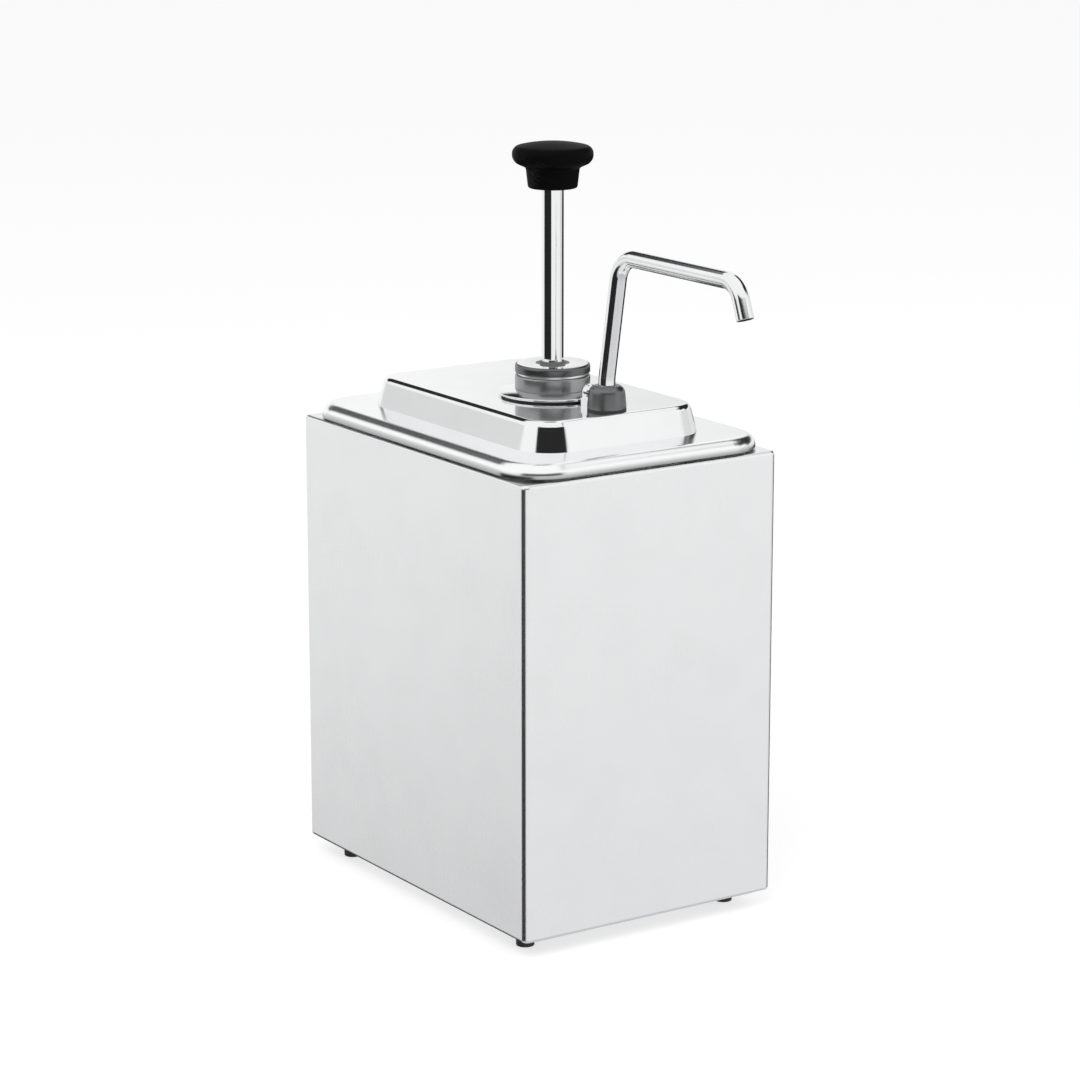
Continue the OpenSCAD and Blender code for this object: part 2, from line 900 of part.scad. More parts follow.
module support_plate() {
    color(steel)
        difference() {
            union() {
                translate([0, 0, plate_z])
                    linear_extrude(plate_t)
                        plate_outline();
                translate([0, stud_y, 0])
                    post(stud_d / 2, plate_z, stud_top_z);
            }
            at_pump()
                post(hub_r + hole_clear, plate_z - over, under_lid_z + over);
            at_spout()
                post(socket_hub_r + hole_clear, plate_z - over, under_lid_z + over);
        }
}

module plate_outline() {
    translate([0, rod_y])
        circle(hub_r + plate_margin);
    translate([0, spout_y])
        circle(d = plate_arm_w);
    translate([-plate_arm_w / 2, spout_y])
        square([plate_arm_w, rod_y - spout_y]);
}

module cap_nut() {
    color(bright_steel)
        translate([0, stud_y, lid_z])
            difference() {
                union() {
                    intersection() {
                        hex_post(cap_nut_af, 0, cap_nut_hex_h);
                        cylinder(r1 = cap_nut_af, r2 = 0.53 * cap_nut_af, h = cap_nut_hex_h);
                    }
                    post(cap_nut_dome_r, cap_nut_hex_h - over, cap_nut_h - cap_nut_dome_r);
                    translate([0, 0, cap_nut_h - cap_nut_dome_r])
                        sphere(cap_nut_dome_r);
                }
                post(stud_d / 2, -over, stud_top_z - lid_z + 0.3);
            }
}

// Pump barrel and valves

module pump_barrel() {
    color(bright_steel)
        at_pump()
            ring(bore_d / 2, barrel_or, coil_z, cap_z);
}

// Height of the spring's wire after a number of turns
function coil_height(turns) =
    turns < 1 ? turns * coil_end_pitch
    : turns > coil_turns - 1 ? coil_len - wire_d - (coil_turns - turns) * coil_end_pitch
    : coil_end_pitch + (turns - 1) * coil_pitch;

// Middle of the spring's wire at one ring
function coil_point(i) =
    let (turns = i / coil_rings)
    [coil_d / 2 * cos(360 * turns), coil_d / 2 * sin(360 * turns), coil_z + wire_r + coil_height(turns)];

// One point on the wire's surface
function wire_point(i, k) =
    let (
        around = 360 * i / coil_rings,
        about = 360 * k / coil_sides,
        reach = coil_d / 2 + wire_r * cos(about),
        middle = coil_point(i)
    )
    [reach * cos(around), reach * sin(around), middle[2] + wire_r * sin(about)];

module return_spring() {
    rings = coil_turns * coil_rings;
    points = [for (i = [0 : rings], k = [0 : coil_sides - 1]) wire_point(i, k)];
    walls = [
        for (i = [0 : rings - 1], k = [0 : coil_sides - 1])
            let (
                a = i * coil_sides + k,
                b = i * coil_sides + (k + 1) % coil_sides
            )
            each [[a, a + coil_sides, b], [b, a + coil_sides, b + coil_sides]]
    ];
    first_cap = [for (k = [1 : coil_sides - 2]) [0, k, k + 1]];
    last = rings * coil_sides;
    last_cap = [for (k = [1 : coil_sides - 2]) [last, last + k + 1, last + k]];
    color(steel)
        at_pump()
            polyhedron(points, concat(walls, first_cap, last_cap));
}

// Least gap between neighbouring turns, measured on the wire's middle points one turn apart
coil_gaps = [
    for (i = [0 : (coil_turns - 1) * coil_rings])
        norm(coil_point(i + coil_rings) - coil_point(i)) - wire_d
];
echo(least_spring_gap = min(coil_gaps));

module valve_body() {
    color(steel)
        at_pump()
            difference() {
                union() {
                    post(valve_neck_r, valve_bottom_z, valve_shoulder_z);
                    translate([0, 0, valve_shoulder_z - valve_cone_h])
                        cylinder(r1 = valve_neck_r, r2 = valve_r, h = valve_cone_h);
                    post(valve_r, valve_shoulder_z, coil_z + barrel_seat_l);
                    bar_y(boss_r, boss_face_y - rod_y, -chamber_r - over, port_z);
                }
                post(barrel_or, coil_z, coil_z + barrel_seat_l + over);
                post(chamber_r, seat_floor_z, coil_z + over);
                translate([0, 0, inlet_seat_z])
                    cylinder(r1 = inlet_bore_r, r2 = chamber_r, h = seat_floor_z - inlet_seat_z);
                post(inlet_bore_r, suction_seat_z - over, inlet_seat_z + over / 2);
                post(suction_d / 2, valve_bottom_z - over, suction_seat_z);
                bar_y(port_r, boss_face_y - rod_y - over, 0, port_z);
                bar_y(elbow_tube_r, boss_face_y - rod_y - over, elbow_end_y - rod_y, port_z);
                translate([0, 0, stop_pin_z])
                    rotate([0, 90, 0])
                        cylinder(r = stop_pin_r, h = stop_pin_l, center = true);
            }
}

module ball_stop_pin() {
    color(bright_steel)
        at_pump()
            translate([0, 0, stop_pin_z])
                rotate([0, 90, 0])
                    cylinder(r = stop_pin_r, h = stop_pin_l, center = true);
}

module suction_tube() {
    color(bright_steel)
        at_pump()
            difference() {
                ring(suction_d / 2 - tube_wall, suction_d / 2, suction_foot_z, suction_seat_z);
                for (turn = [0, 90])
                    rotate([0, 0, turn])
                        translate([0, 0, suction_foot_z])
                            cube([suction_d + 2 * over, foot_notch_w, 2 * foot_notch_h], center = true);
            }
}

module outlet_elbow() {
    color(steel)
        difference() {
            union() {
                bar_y(elbow_tube_r, spout_y, elbow_end_y, port_z);
                at_spout()
                    post(elbow_r, port_z - elbow_r, riser_z + riser_seat_l);
            }
            bar_y(port_r, spout_y, elbow_end_y + over, port_z);
            at_spout() {
                post(outlet_bore_r, port_z, outlet_seat_z + over / 2);
                translate([0, 0, outlet_seat_z])
                    cylinder(r1 = outlet_bore_r, r2 = outlet_chamber_r, h = outlet_chamber_z - outlet_seat_z);
                post(outlet_chamber_r, outlet_chamber_z, riser_z + over);
                post(riser_r, riser_z, riser_z + riser_seat_l + over);
            }
        }
}

module riser_tube() {
    color(bright_steel)
        at_spout()
            difference() {
                union() {
                    post(riser_r, riser_z, riser_top_z);
                    post(sleeve_r, sleeve_z, riser_top_z);
                }
                post(riser_bore_r, riser_z - over, riser_top_z + over);
            }
}

module inlet_ball() {
    color(bright_steel)
        at_pump()
            translate([0, 0, inlet_ball_z])
                sphere(inlet_ball_r);
}

module outlet_ball() {
    color(bright_steel)
        at_spout()
            translate([0, 0, outlet_ball_z])
                sphere(outlet_ball_r);
}

// Spout and its socket

module spout_socket() {
    groove_h_seal = seal_cord_d + seal_cord_room;
    color(steel)
        at_spout()
            difference() {
                union() {
                    post(socket_hub_r, socket_hub_z, socket_z + over);
                    rotate_extrude()
                        socket_section();
                }
                post(socket_bore_r, socket_hub_z - over, socket_top_z + over);
                post(sleeve_r, socket_hub_z - over, spout_step_z);
                ring(0, socket_bore_r + seal_cord_d, spout_seal_z - groove_h_seal / 2, spout_seal_z + groove_h_seal / 2);
            }
}

// Foot, slightly tapered body and round shoulder
module socket_section() {
    polygon([
        [0, socket_z],
        [socket_r, socket_z],
        [socket_r, socket_z + socket_foot_h],
        socket_neck + [socket_shoulder_r, 0],
        socket_neck,
        socket_neck + [0, socket_shoulder_r],
        [0, socket_top_z]
    ]);
    intersection() {
        translate(socket_neck)
            circle(socket_shoulder_r);
        translate(socket_neck)
            square(socket_shoulder_r);
    }
}

module socket_gasket() {
    color(black_rubber)
        at_spout()
            ring(socket_hub_r, socket_r, lid_z, socket_z);
}

module socket_locknut() {
    nut_z = plate_z - locknut_h;
    color(steel)
        at_spout()
            difference() {
                hex_post(socket_nut_af, nut_z, plate_z);
                post(socket_hub_r, nut_z - over, plate_z + over);
            }
}

module spout_seal() {
    color(black_rubber)
        at_spout()
            cord_ring(socket_bore_r + seal_cord_d / 2, seal_cord_d, spout_seal_z);
}

// Section of the spout's tube, thicker by the swell on both sides of its wall
module tube_section(swell) {
    difference() {
        circle(spout_r + swell);
        circle(spout_bore_r - swell);
    }
}

// Straight length of the spout's tube that laps into what is before and after it, and what follows
module tube_straight(length, before, after) {
    translate([0, 0, -before])
        linear_extrude(before + length + after)
            tube_section(0);
    translate([0, 0, length])
        children();
}

// Bend of the spout's tube towards the front, and what follows
module tube_bend(bend_radius, angle) {
    translate([0, -bend_radius, 0]) {
        rotate([90, 0, 90])
            rotate_extrude(angle = angle)
                translate([bend_radius, 0])
                    tube_section(bend_swell);
        rotate([angle, 0, 0])
            translate([0, bend_radius, 0])
                children();
    }
}

module spout() {
    color(bright_steel)
        at_spout() {
            ring(spout_r - spout_wall / 2, spout_stop_r, spout_stop_z, spout_stop_z + spout_stop_t);
            translate([0, 0, spout_stop_z])
                tube_straight(spout_upright, 0, tube_lap)
                tube_bend(lean_r, spout_lean)
                tube_straight(riser_straight, tube_lap, tube_lap)
                tube_bend(crest_r, crest_turn)
                tube_straight(run_straight, tube_lap, tube_lap)
                tube_bend(outlet_r, outlet_turn)
                translate([0, 0, -tube_lap])
                    linear_extrude(outlet_straight + tube_lap)
                        tube_section(0);
        }
}

// Plunger

module plunger_rod() {
    color(bright_steel)
        at_pump() {
            post(piston_stud_d / 2, piston_nut_z - piston_stud_tail, piston_top_z);
            post(rod_r, piston_top_z, insert_z);
            post(knob_stud_d / 2, insert_z, insert_z + knob_stud_l);
        }
}

module knob() {
    color(black_rubber)
        at_pump()
            translate([0, 0, knob_z])
                difference() {
                    rotate_extrude()
                        knob_section();
                    post(rod_r + run_clear, -over, rod_in_knob);
                    post(insert_r, rod_in_knob - over, rod_in_knob + insert_l);
                }
}

// Tapered skirt, swept-out brim with a full round edge, and low domed top
module knob_section() {
    ahead_of_axis(knob_d) {
        polygon([
            [0, 0],
            [skirt_d / 2 - edge_round, 0],
            [skirt_d / 2, edge_round],
            skirt_top,
            flare_end,
            knob_brim_low,
            knob_brim_low + [knob_edge_r, 0],
            knob_brim_top + [knob_edge_r, 0],
            knob_brim_top,
            knob_brim_top + [0, knob_edge_r],
            [0, knob_brim_top[1] + knob_edge_r]
        ]);
        for (edge = [knob_brim_low, knob_brim_top])
            translate(edge)
                circle(knob_edge_r);
        intersection() {
            translate([0, knob_h - knob_dome_r])
                circle(knob_dome_r, $fn = 360);
            translate([0, knob_brim_top[1]])
                square([knob_dome_half, knob_h]);
        }
    }
}

module knob_insert() {
    color("#b59a55")
        at_pump()
            difference() {
                union() {
                    post(insert_r - insert_rib_depth, insert_z, insert_z + insert_l);
                    for (share = [0, 0.4, 0.8])
                        post(insert_r, insert_z + share * insert_l, insert_z + (share + 0.2) * insert_l);
                }
                post(knob_stud_d / 2, insert_z - over, insert_z + insert_l + over);
            }
}

module piston() {
    color(pale_plastic)
        at_pump()
            difference() {
                post(piston_r, piston_z, piston_top_z);
                post(piston_stud_d / 2, piston_z - over, piston_top_z + over);
                for (z = seal_heights)
                    ring(
                        seal_ring_r - seal_cord_d / 2, piston_r + over,
                        z - (seal_cord_d + seal_cord_room) / 2, z + (seal_cord_d + seal_cord_room) / 2
                    );
            }
}

module piston_seals() {
    color(black_rubber)
        at_pump()
            for (z = seal_heights)
                cord_ring(seal_ring_r, seal_cord_d, z);
}

module piston_washer() {
    color(steel)
        at_pump()
            ring(piston_stud_d / 2, piston_washer_r, piston_z - piston_washer_t, piston_z);
}

module piston_nut() {
    color(steel)
        at_pump()
            difference() {
                hex_post(piston_nut_af, piston_nut_z, piston_nut_z + piston_nut_h);
                post(piston_stud_d / 2, piston_nut_z - over, piston_nut_z + piston_nut_h + over);
            }
}

housing_shell();
base_plate();
base_screws();
foot_front_left();
foot_front_right();
foot_rear_left();
foot_rear_right();
foot_screws();
base_nuts();
food_pan();
lid();
pump_flange();
flange_gasket();
support_plate();
cap_nut();
pump_locknut();
union_collar();
gland_cap();
rod_bushing();
rod_wiper();
pump_barrel();
return_spring();
valve_body();
ball_stop_pin();
suction_tube();
outlet_elbow();
riser_tube();
spout_socket();
socket_gasket();
socket_locknut();
spout_seal();
knob();
knob_insert();
plunger_rod();
piston();
piston_seals();
piston_washer();
piston_nut();
spout();
inlet_ball();
outlet_ball();
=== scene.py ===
"""Looks of a counter-top sauce pump dispenser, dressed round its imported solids.

Metres throughout, in the solids' own frame: +Z is up, and the spout points to -Y, the front.
"""

from __future__ import annotations

import logging
from dataclasses import dataclass
from enum import Enum
from functools import reduce
from math import asin, atan2, cos, pi, radians, sin, tan
from typing import Callable, Sequence, Union

import bmesh
import bpy
from bmesh.types import BMEdge, BMesh, BMVert
from bpy.types import ID, Material, Node, NodeSocket, Object, World
from mathutils import Matrix, Vector


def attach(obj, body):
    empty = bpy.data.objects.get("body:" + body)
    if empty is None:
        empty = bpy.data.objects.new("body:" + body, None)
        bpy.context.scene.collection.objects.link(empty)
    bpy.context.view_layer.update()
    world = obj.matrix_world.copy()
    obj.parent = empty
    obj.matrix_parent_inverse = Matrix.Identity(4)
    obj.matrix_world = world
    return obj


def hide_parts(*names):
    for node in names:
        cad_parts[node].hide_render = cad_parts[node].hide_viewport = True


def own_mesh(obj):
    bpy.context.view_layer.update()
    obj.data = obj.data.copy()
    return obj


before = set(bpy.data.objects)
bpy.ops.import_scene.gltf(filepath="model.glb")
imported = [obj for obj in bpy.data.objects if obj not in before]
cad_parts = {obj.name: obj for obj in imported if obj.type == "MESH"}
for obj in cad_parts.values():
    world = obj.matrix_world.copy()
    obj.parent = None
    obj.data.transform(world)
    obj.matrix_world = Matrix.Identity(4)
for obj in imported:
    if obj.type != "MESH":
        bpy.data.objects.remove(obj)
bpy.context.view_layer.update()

LOG = logging.getLogger("dispenser")

MM = 0.001
FULL_TURN = 2.0 * pi
RIGHT_ANGLE = 0.5 * pi
UP = Vector((0.0, 0.0, 1.0))
SIDEWAYS = Vector((1.0, 0.0, 0.0))
ROD_AXIS = Vector((0.0, -19.0 * MM, 0.0))
SPOUT_AXIS = Vector((0.0, -73.5 * MM, 0.0))

# Lengths and angles below this count as nothing
TINY = 1e-6
# Radius of the ring that closes the end of a loft
TIP_R = 0.02 * MM

# Roundings of edges
CRISP = 0.2 * MM
BROKEN = 0.3 * MM
EASED = 0.4 * MM
SOFT = 0.5 * MM

# Sockets of a Mix node that mixes colours
MIX_SHARE, MIX_FIRST, MIX_SECOND, MIX_RESULT = 0, 6, 7, 2

Triple = tuple[float, float, float]
Ring = Callable[[float], tuple[float, float]]
Link = Union[float, Sequence[float], "Value", Node, NodeSocket]

WHITE: Triple = (1.0, 1.0, 1.0)
EVEN: Triple = (1.0, 1.0, 1.0)
LEVEL: Triple = (1.0, 1.0, 0.0)


class Grain(Enum):
    """How a surface was worked, which sets the run of its fine marks."""

    UPRIGHT = "upright"
    LENGTHWISE = "lengthwise"
    TURNED = "turned"
    MOULDED = "moulded"
    PLAIN = "plain"


@dataclass(frozen=True)
class Cloud:
    """A noise pattern: cells per metre on each axis, octaves, the finer ones' weight, middle."""

    cells: Triple
    detail: float = 2.0
    weight: float = 0.5
    centre: Triple = (0.0, 0.0, 0.0)


PATCHES = Cloud((38.0, 38.0, 38.0), 3.0, 0.55)
SMEARS = Cloud((9.0, 9.0, 14.0), centre=(0.31, 0.17, 0.05))
SWELL = Cloud((11.0, 11.0, 7.0), 1.0, 0.4, (0.4, 0.9, 0.2))
NOISE_MEAN = 0.5

# Between which values of the noise a surface turns dull, and a raised grain worn
DULL_EDGE = (0.35, 0.72)
WORN_EDGE = (0.30, 0.55)
WORN_LIFT = 0.03

# How much longer than wide a brushed mark is, the octaves of a lathe's marks, and their relief
BRUSH_LENGTH = 60.0
LATHE_DETAIL = 2.0
MARK_RELIEF = 0.6
LEAST_ROUGHNESS = 0.02


def rgba(colour: Triple, share: float = 1.0, lift: float = 0.0) -> tuple[float, ...]:
    """Multiplies a colour by a share, lifts it, and adds full opacity."""
    return (*(min(1.0, part * share + lift) for part in colour), 1.0)


def operator(operation: str, reflected: bool = False) -> Callable[[Value, Link], Value]:
    """Makes a method that adds one Math node.

    Args:
        operation: The node's operation.
        reflected: Whether the other value comes first.

    Returns:
        The method, which takes the other value and gives the node's result.
    """

    def method(self: Value, other: Link) -> Value:
        """Adds the node and gives its result."""
        inputs = {0: other, 1: self} if reflected else {0: self, 1: other}
        return self.shader.value(self.shader.node("Math", inputs, operation=operation))

    return method


class Value:
    """A shader value: wraps an output socket, and arithmetic on it adds Math nodes."""

    __add__, __radd__ = operator("ADD"), operator("ADD", True)
    __sub__, __rsub__ = operator("SUBTRACT"), operator("SUBTRACT", True)
    __mul__, __rmul__ = operator("MULTIPLY"), operator("MULTIPLY", True)
    most = operator("MAXIMUM")

    def __init__(self, shader: Shader, socket: NodeSocket) -> None:
        """Keeps the socket and the tree that it belongs to."""
        self.shader = shader
        self.socket = socket

    def step(self, low: float, high: float) -> Value:
        """Eases from 0 at the low value to 1 at the high one."""
        inputs = {"Value": self, "From Min": low, "From Max": high}
        return self.shader.value(
            self.shader.node("MapRange", inputs, interpolation_type="SMOOTHSTEP")
        )


class Shader:
    """One node tree, of a material or of the world."""

    def __init__(self, owner: Material | World) -> None:
        """Empties the owner's tree.

        Args:
            owner: The material or the world.
        """
        owner.use_nodes = True
        self.tree = owner.node_tree
        self.tree.nodes.clear()

    def node(self, kind: str, inputs: dict | None = None, **settings: str) -> Node:
        """Adds a node.

        Args:
            kind: The node's type, without the prefix that all have.
            inputs: Values or links of its sockets, by name or number.
            settings: Attributes to set first.

        Returns:
            The new node.
        """
        made = self.tree.nodes.new(f"ShaderNode{kind}")
        for name, value in settings.items():
            setattr(made, name, value)
        for name, value in (inputs or {}).items():
            self._feed(made.inputs[name], value)
        return made

    def _feed(self, socket: NodeSocket, value: Link) -> None:
        """Links a value to a socket, or sets a constant on it.

        Args:
            socket: The input to feed.
            value: A wrapped value, a node's first output, an output socket or a constant.
        """
        if isinstance(value, Value):
            value = value.socket
        elif isinstance(value, Node):
            value = value.outputs[0]
        if isinstance(value, NodeSocket):
            self.tree.links.new(value, socket)
        else:
            socket.default_value = value

    def value(self, node: Node, output: str | int = 0) -> Value:
        """Wraps one output of a node."""
        return Value(self, node.outputs[output])

    def vector(self, operation: str, *inputs: Link) -> Node:
        """Adds one Vector Math node."""
        return self.node("VectorMath", dict(enumerate(inputs)), operation=operation)

    def split(self, vector: Link) -> list[Value]:
        """Gives a vector's X, Y and Z."""
        parts = self.node("SeparateXYZ", {0: vector})
        return [self.value(parts, axis) for axis in range(3)]

    def place(self, centre: Triple = (0.0, 0.0, 0.0), stretch: Triple = EVEN) -> Node:
        """Gives Object coordinates about a centre, stretched along the axes.

        Args:
            centre: Point that becomes the pattern's middle.
            stretch: Pattern units per metre along X, Y and Z.

        Returns:
            The node whose first output is the vector.
        """
        coords = self.node("TexCoord")
        moved = self.vector("SUBTRACT", coords.outputs["Object"], centre)
        return self.vector("MULTIPLY", moved, stretch)

    def noise(self, cloud: Cloud) -> Value:
        """Samples a noise pattern.

        Args:
            cloud: The pattern.

        Returns:
            The noise, whose mean is about 0.5.
        """
        inputs = {"Scale": 1.0, "Detail": cloud.detail, "Roughness": cloud.weight}
        where = self.place(cloud.centre, cloud.cells)
        return self.value(self.node("TexNoise", {"Vector": where, **inputs}))

    def blend(self, share: Link, first: Link, second: Link) -> NodeSocket:
        """Mixes two colours: a share of 0 gives the first and 1 the second."""
        inputs = {MIX_SHARE: share, MIX_FIRST: first, MIX_SECOND: second}
        return self.node("Mix", inputs, data_type="RGBA").outputs[MIX_RESULT]

    def mix(self, share: Link, first: Node, second: Node) -> Node:
        """Mixes two shaders."""
        return self.node("MixShader", {0: share, 1: first, 2: second})

    def rays(self, *kinds: str) -> Value:
        """Gives 1 on rays of any of the kinds, and 0 on others."""
        path = self.node("LightPath")
        return reduce(Value.most, [self.value(path, f"Is {kind} Ray") for kind in kinds])


@dataclass(frozen=True)
class RimShade:
    """Painted shade on a rim: colour that darkens downwards, from a height to a height, round a
    middle that doesn't.
    """

    low: float
    high: float
    share: float
    half_x: float
    half_y: float
    soft: float = 3.0 * MM

    def mask(self, shader: Shader) -> Value:
        """Draws the painted shade on the rim.

        Args:
            shader: The material's tree.

        Returns:
            1 where the rim is darkest and 0 elsewhere.
        """
        x, y, z = shader.split(shader.place())
        across = (x * x).step(self.half_x**2, (self.half_x + self.soft) ** 2)
        along = (y * y).step(self.half_y**2, (self.half_y + self.soft) ** 2)
        return across.most(along) * (1.0 - z.step(self.low, self.high))


@dataclass(frozen=True)
class Finish:
    """One surface finish: its colour, gloss, the marks that working and use left, and any painted
    shade along a rim.
    """

    name: str
    colour: Triple
    roughness: float
    metallic: float = 1.0
    grain: Grain = Grain.PLAIN
    axis: tuple[float, float] = (0.0, 0.0)
    pitch: float = 0.8 * MM
    depth: float = 0.02 * MM
    grain_gloss: float = 0.08
    shade: float = 0.06
    smear: float = 0.5
    wave: float = 0.0
    wear: float = 0.0
    shine: float = 0.5
    # Painted shade along the lower part of a rim, if any
    rim_shade: RimShade | None = None

    def material(self) -> Material:
        """Builds the finish as a material.

        Returns:
            The new material.
        """
        made = bpy.data.materials.new(self.name)
        shader = Shader(made)
        marks, patches, smears = self._marks(shader), shader.noise(PATCHES), shader.noise(SMEARS)
        dull = rgba(self.colour, 1.0 - self.shade)
        colour = shader.blend(patches.step(*DULL_EDGE), rgba(self.colour), dull)
        if self.wear:
            worn = rgba(self.colour, 1.0 + self.wear, WORN_LIFT * self.wear)
            colour = shader.blend((marks * patches).step(*WORN_EDGE), colour, worn)
        # Painted shade: the rim's colour darkens towards its lower edge
        if self.rim_shade:
            shaded_rim = rgba(self.colour, self.rim_shade.share)
            colour = shader.blend(self.rim_shade.mask(shader), colour, shaded_rim)
        gloss = self.roughness + (marks - NOISE_MEAN) * self.grain_gloss
        gloss = gloss + (smears - NOISE_MEAN) * (self.smear * self.roughness)
        relief = {"Strength": MARK_RELIEF, "Distance": self.depth, "Height": marks}
        if self.wave:
            relief = {"Strength": 1.0, "Distance": self.wave, "Height": shader.noise(SWELL)}
        inputs = {
            "Base Color": colour,
            "Metallic": self.metallic,
            "Specular IOR Level": self.shine,
            "Roughness": gloss.most(LEAST_ROUGHNESS),
            "Normal": shader.node("Bump", relief),
        }
        shader.node("OutputMaterial", {"Surface": shader.node("BsdfPrincipled", inputs)})
        return made

    def _marks(self, shader: Shader) -> Value:
        """Draws the fine marks of the way that the surface was worked.

        Args:
            shader: The material's tree.

        Returns:
            The marks, from 0 to 1.
        """
        fine = 1.0 / self.pitch
        slow = fine / BRUSH_LENGTH
        if self.grain is Grain.TURNED:
            radius = shader.vector("LENGTH", shader.place((*self.axis, 0.0), LEVEL))
            height = shader.split(shader.place())[2]
            groove = shader.value(radius, "Value") * fine + height * fine
            inputs = {"W": groove, "Scale": 1.0, "Detail": LATHE_DETAIL}
            return shader.value(shader.node("TexNoise", inputs, noise_dimensions="1D"))
        clouds = {
            Grain.UPRIGHT: Cloud((fine, fine, slow), 3.0, 0.6),
            Grain.LENGTHWISE: Cloud((fine, slow, fine), 3.0, 0.6),
            Grain.MOULDED: Cloud((fine, fine, fine), 4.0, 0.65),
            Grain.PLAIN: Cloud((fine, fine, fine)),
        }
        return shader.noise(clouds[self.grain])


def turned(name: str, colour: Triple, roughness: float, axis: Vector, **marks: float) -> Finish:
    """Gives a finish with the marks of a lathe round an axis."""
    return Finish(name, colour, roughness, grain=Grain.TURNED, axis=(axis.x, axis.y), **marks)


def moulded(name: str, colour: Triple, roughness: float, **marks: float) -> Finish:
    """Gives a finish of moulded plastic or rubber."""
    return Finish(name, colour, roughness, metallic=0.0, grain=Grain.MOULDED, **marks)


# Marks that several finishes share: cut on a lathe, pressed from sheet, and lightly polished
CUT = {"pitch": 0.35 * MM, "depth": 0.03 * MM, "grain_gloss": 0.14}
PRESSED = {"pitch": 1.2 * MM, "grain_gloss": 0.03, "wave": 0.06 * MM}
BUFFED = {"pitch": 0.6 * MM, "depth": 0.002 * MM}


FINISHES = {
    "housing": Finish(
        "housing_steel", (0.925, 0.93, 0.935), 0.27, grain=Grain.UPRIGHT,
        pitch=0.5 * MM, grain_gloss=0.03, shade=0.02, smear=0.2, wave=0.20 * MM,
    ),
    # The pan's rolled rim is painted darker towards its lower edge: painted shade
    "pan": Finish(
        "pan_steel", (0.965, 0.97, 0.975), 0.21, shade=0.02, smear=0.25,
        rim_shade=RimShade(271.5 * MM, 275.2 * MM, 0.42, 60.0 * MM, 94.0 * MM), **PRESSED,
    ),
    "lid": Finish("lid_steel", (0.90, 0.905, 0.91), 0.09, shade=0.03, smear=0.3, **PRESSED),
    "plate": Finish("plate_steel", (0.62, 0.63, 0.64), 0.38, grain=Grain.LENGTHWISE),
    # Painted shade: the turned steel of the collar's tiers and the spout's socket gets dark grey
    # base colours in place of the dark reflections on it; the flange is the same turned steel left
    # light
    "gland_shaded": turned("gland_steel_painted_shade", (0.165, 0.167, 0.17), 0.32, ROD_AXIS, **CUT),
    "pump_turned": turned("pump_turned_steel", (0.37, 0.373, 0.377), 0.30, ROD_AXIS, **CUT),
    "spout_turned": turned("spout_turned_steel", (0.19, 0.192, 0.195), 0.34, SPOUT_AXIS, **CUT),
    "flange": turned(
        "flange_steel", (0.86, 0.865, 0.87), 0.09, ROD_AXIS,
        pitch=0.3 * MM, depth=0.002 * MM, grain_gloss=0.06,
    ),
    "neck": Finish("neck_steel", (0.93, 0.935, 0.94), 0.34, **BUFFED),
    "polished": Finish(
        "polished_steel", (0.90, 0.905, 0.91), 0.06, grain=Grain.UPRIGHT,
        pitch=0.5 * MM, depth=0.001 * MM, grain_gloss=0.03, shade=0.03,
    ),
    "spout": Finish(
        "spout_steel", (0.90, 0.905, 0.91), 0.13,
        pitch=1.4 * MM, depth=0.002 * MM, grain_gloss=0.04, shade=0.05,
    ),
    "nut": Finish("nut_steel", (0.86, 0.865, 0.87), 0.08, **BUFFED),
    "fastener": Finish("fastener_steel", (0.66, 0.67, 0.68), 0.28, pitch=0.6 * MM),
    "spring": Finish("spring_steel", (0.55, 0.56, 0.58), 0.26, pitch=0.5 * MM),
    "ball": Finish("ball_steel", (0.85, 0.855, 0.86), 0.06, depth=0.001 * MM),
    "brass": Finish("insert_brass", (0.70, 0.52, 0.22), 0.28, pitch=0.6 * MM),
    "knob": moulded(
        "knob_plastic", (0.0035, 0.0035, 0.0038), 0.48, pitch=0.7 * MM, depth=0.05 * MM,
        grain_gloss=0.12, shade=0.3, wear=0.8, shine=0.025,
    ),
    "white": moulded("white_plastic", (0.80, 0.80, 0.77), 0.45, pitch=0.6 * MM, depth=0.03 * MM),
    "wiper": moulded("wiper_rubber", (0.16, 0.16, 0.16), 0.5, pitch=0.5 * MM, depth=0.03 * MM),
    "foot": moulded(
        "foot_rubber", (0.030, 0.030, 0.031), 0.62,
        pitch=0.6 * MM, depth=0.06 * MM, shade=0.3, wear=1.2,
    ),
    "gasket": moulded(
        "gasket_rubber", (0.025, 0.025, 0.026), 0.55, pitch=0.5 * MM, depth=0.04 * MM
    ),
}


class Palette(dict[str, Material]):
    """Materials by the names of their finishes, each made on first use."""

    def __missing__(self, name: str) -> Material:
        """Makes a finish's material."""
        self[name] = FINISHES[name].material()
        return self[name]

    def paint(self, piece: Object, name: str) -> None:
        """Puts a finish on the whole of a piece.

        Args:
            piece: The object.
            name: The finish's name in the table.
        """
        piece.data.materials.clear()
        piece.data.materials.append(self[name])
        LOG.info("%s wears %s", piece.name, self[name].name)

    def paint_level(self, piece: Object, name: str, low: float, high: float) -> None:
        """Puts another finish on the faces between two heights.

        Args:
            piece: The object.
            name: The finish's name in the table.
            low: Lower height.
            high: Upper height.
        """
        piece.data.materials.append(self[name])
        for face in piece.data.polygons:
            if low + TINY < face.center.z < high - TINY:
                face.material_index = len(piece.data.materials) - 1

    def paint_nodes(self, **solids: str) -> None:
        """Puts finishes on the solids that stay in view.

        Args:
            solids: For each finish, the names of its solids.
        """
        for name, nodes in solids.items():
            for node in nodes.split():
                self.paint(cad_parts[node], name)


@dataclass(frozen=True)
class Corner:
    """One corner of a lathe profile: radius, height and the rounding there."""

    r: float
    z: float
    fillet: float = 0.0
    segments: int = 4


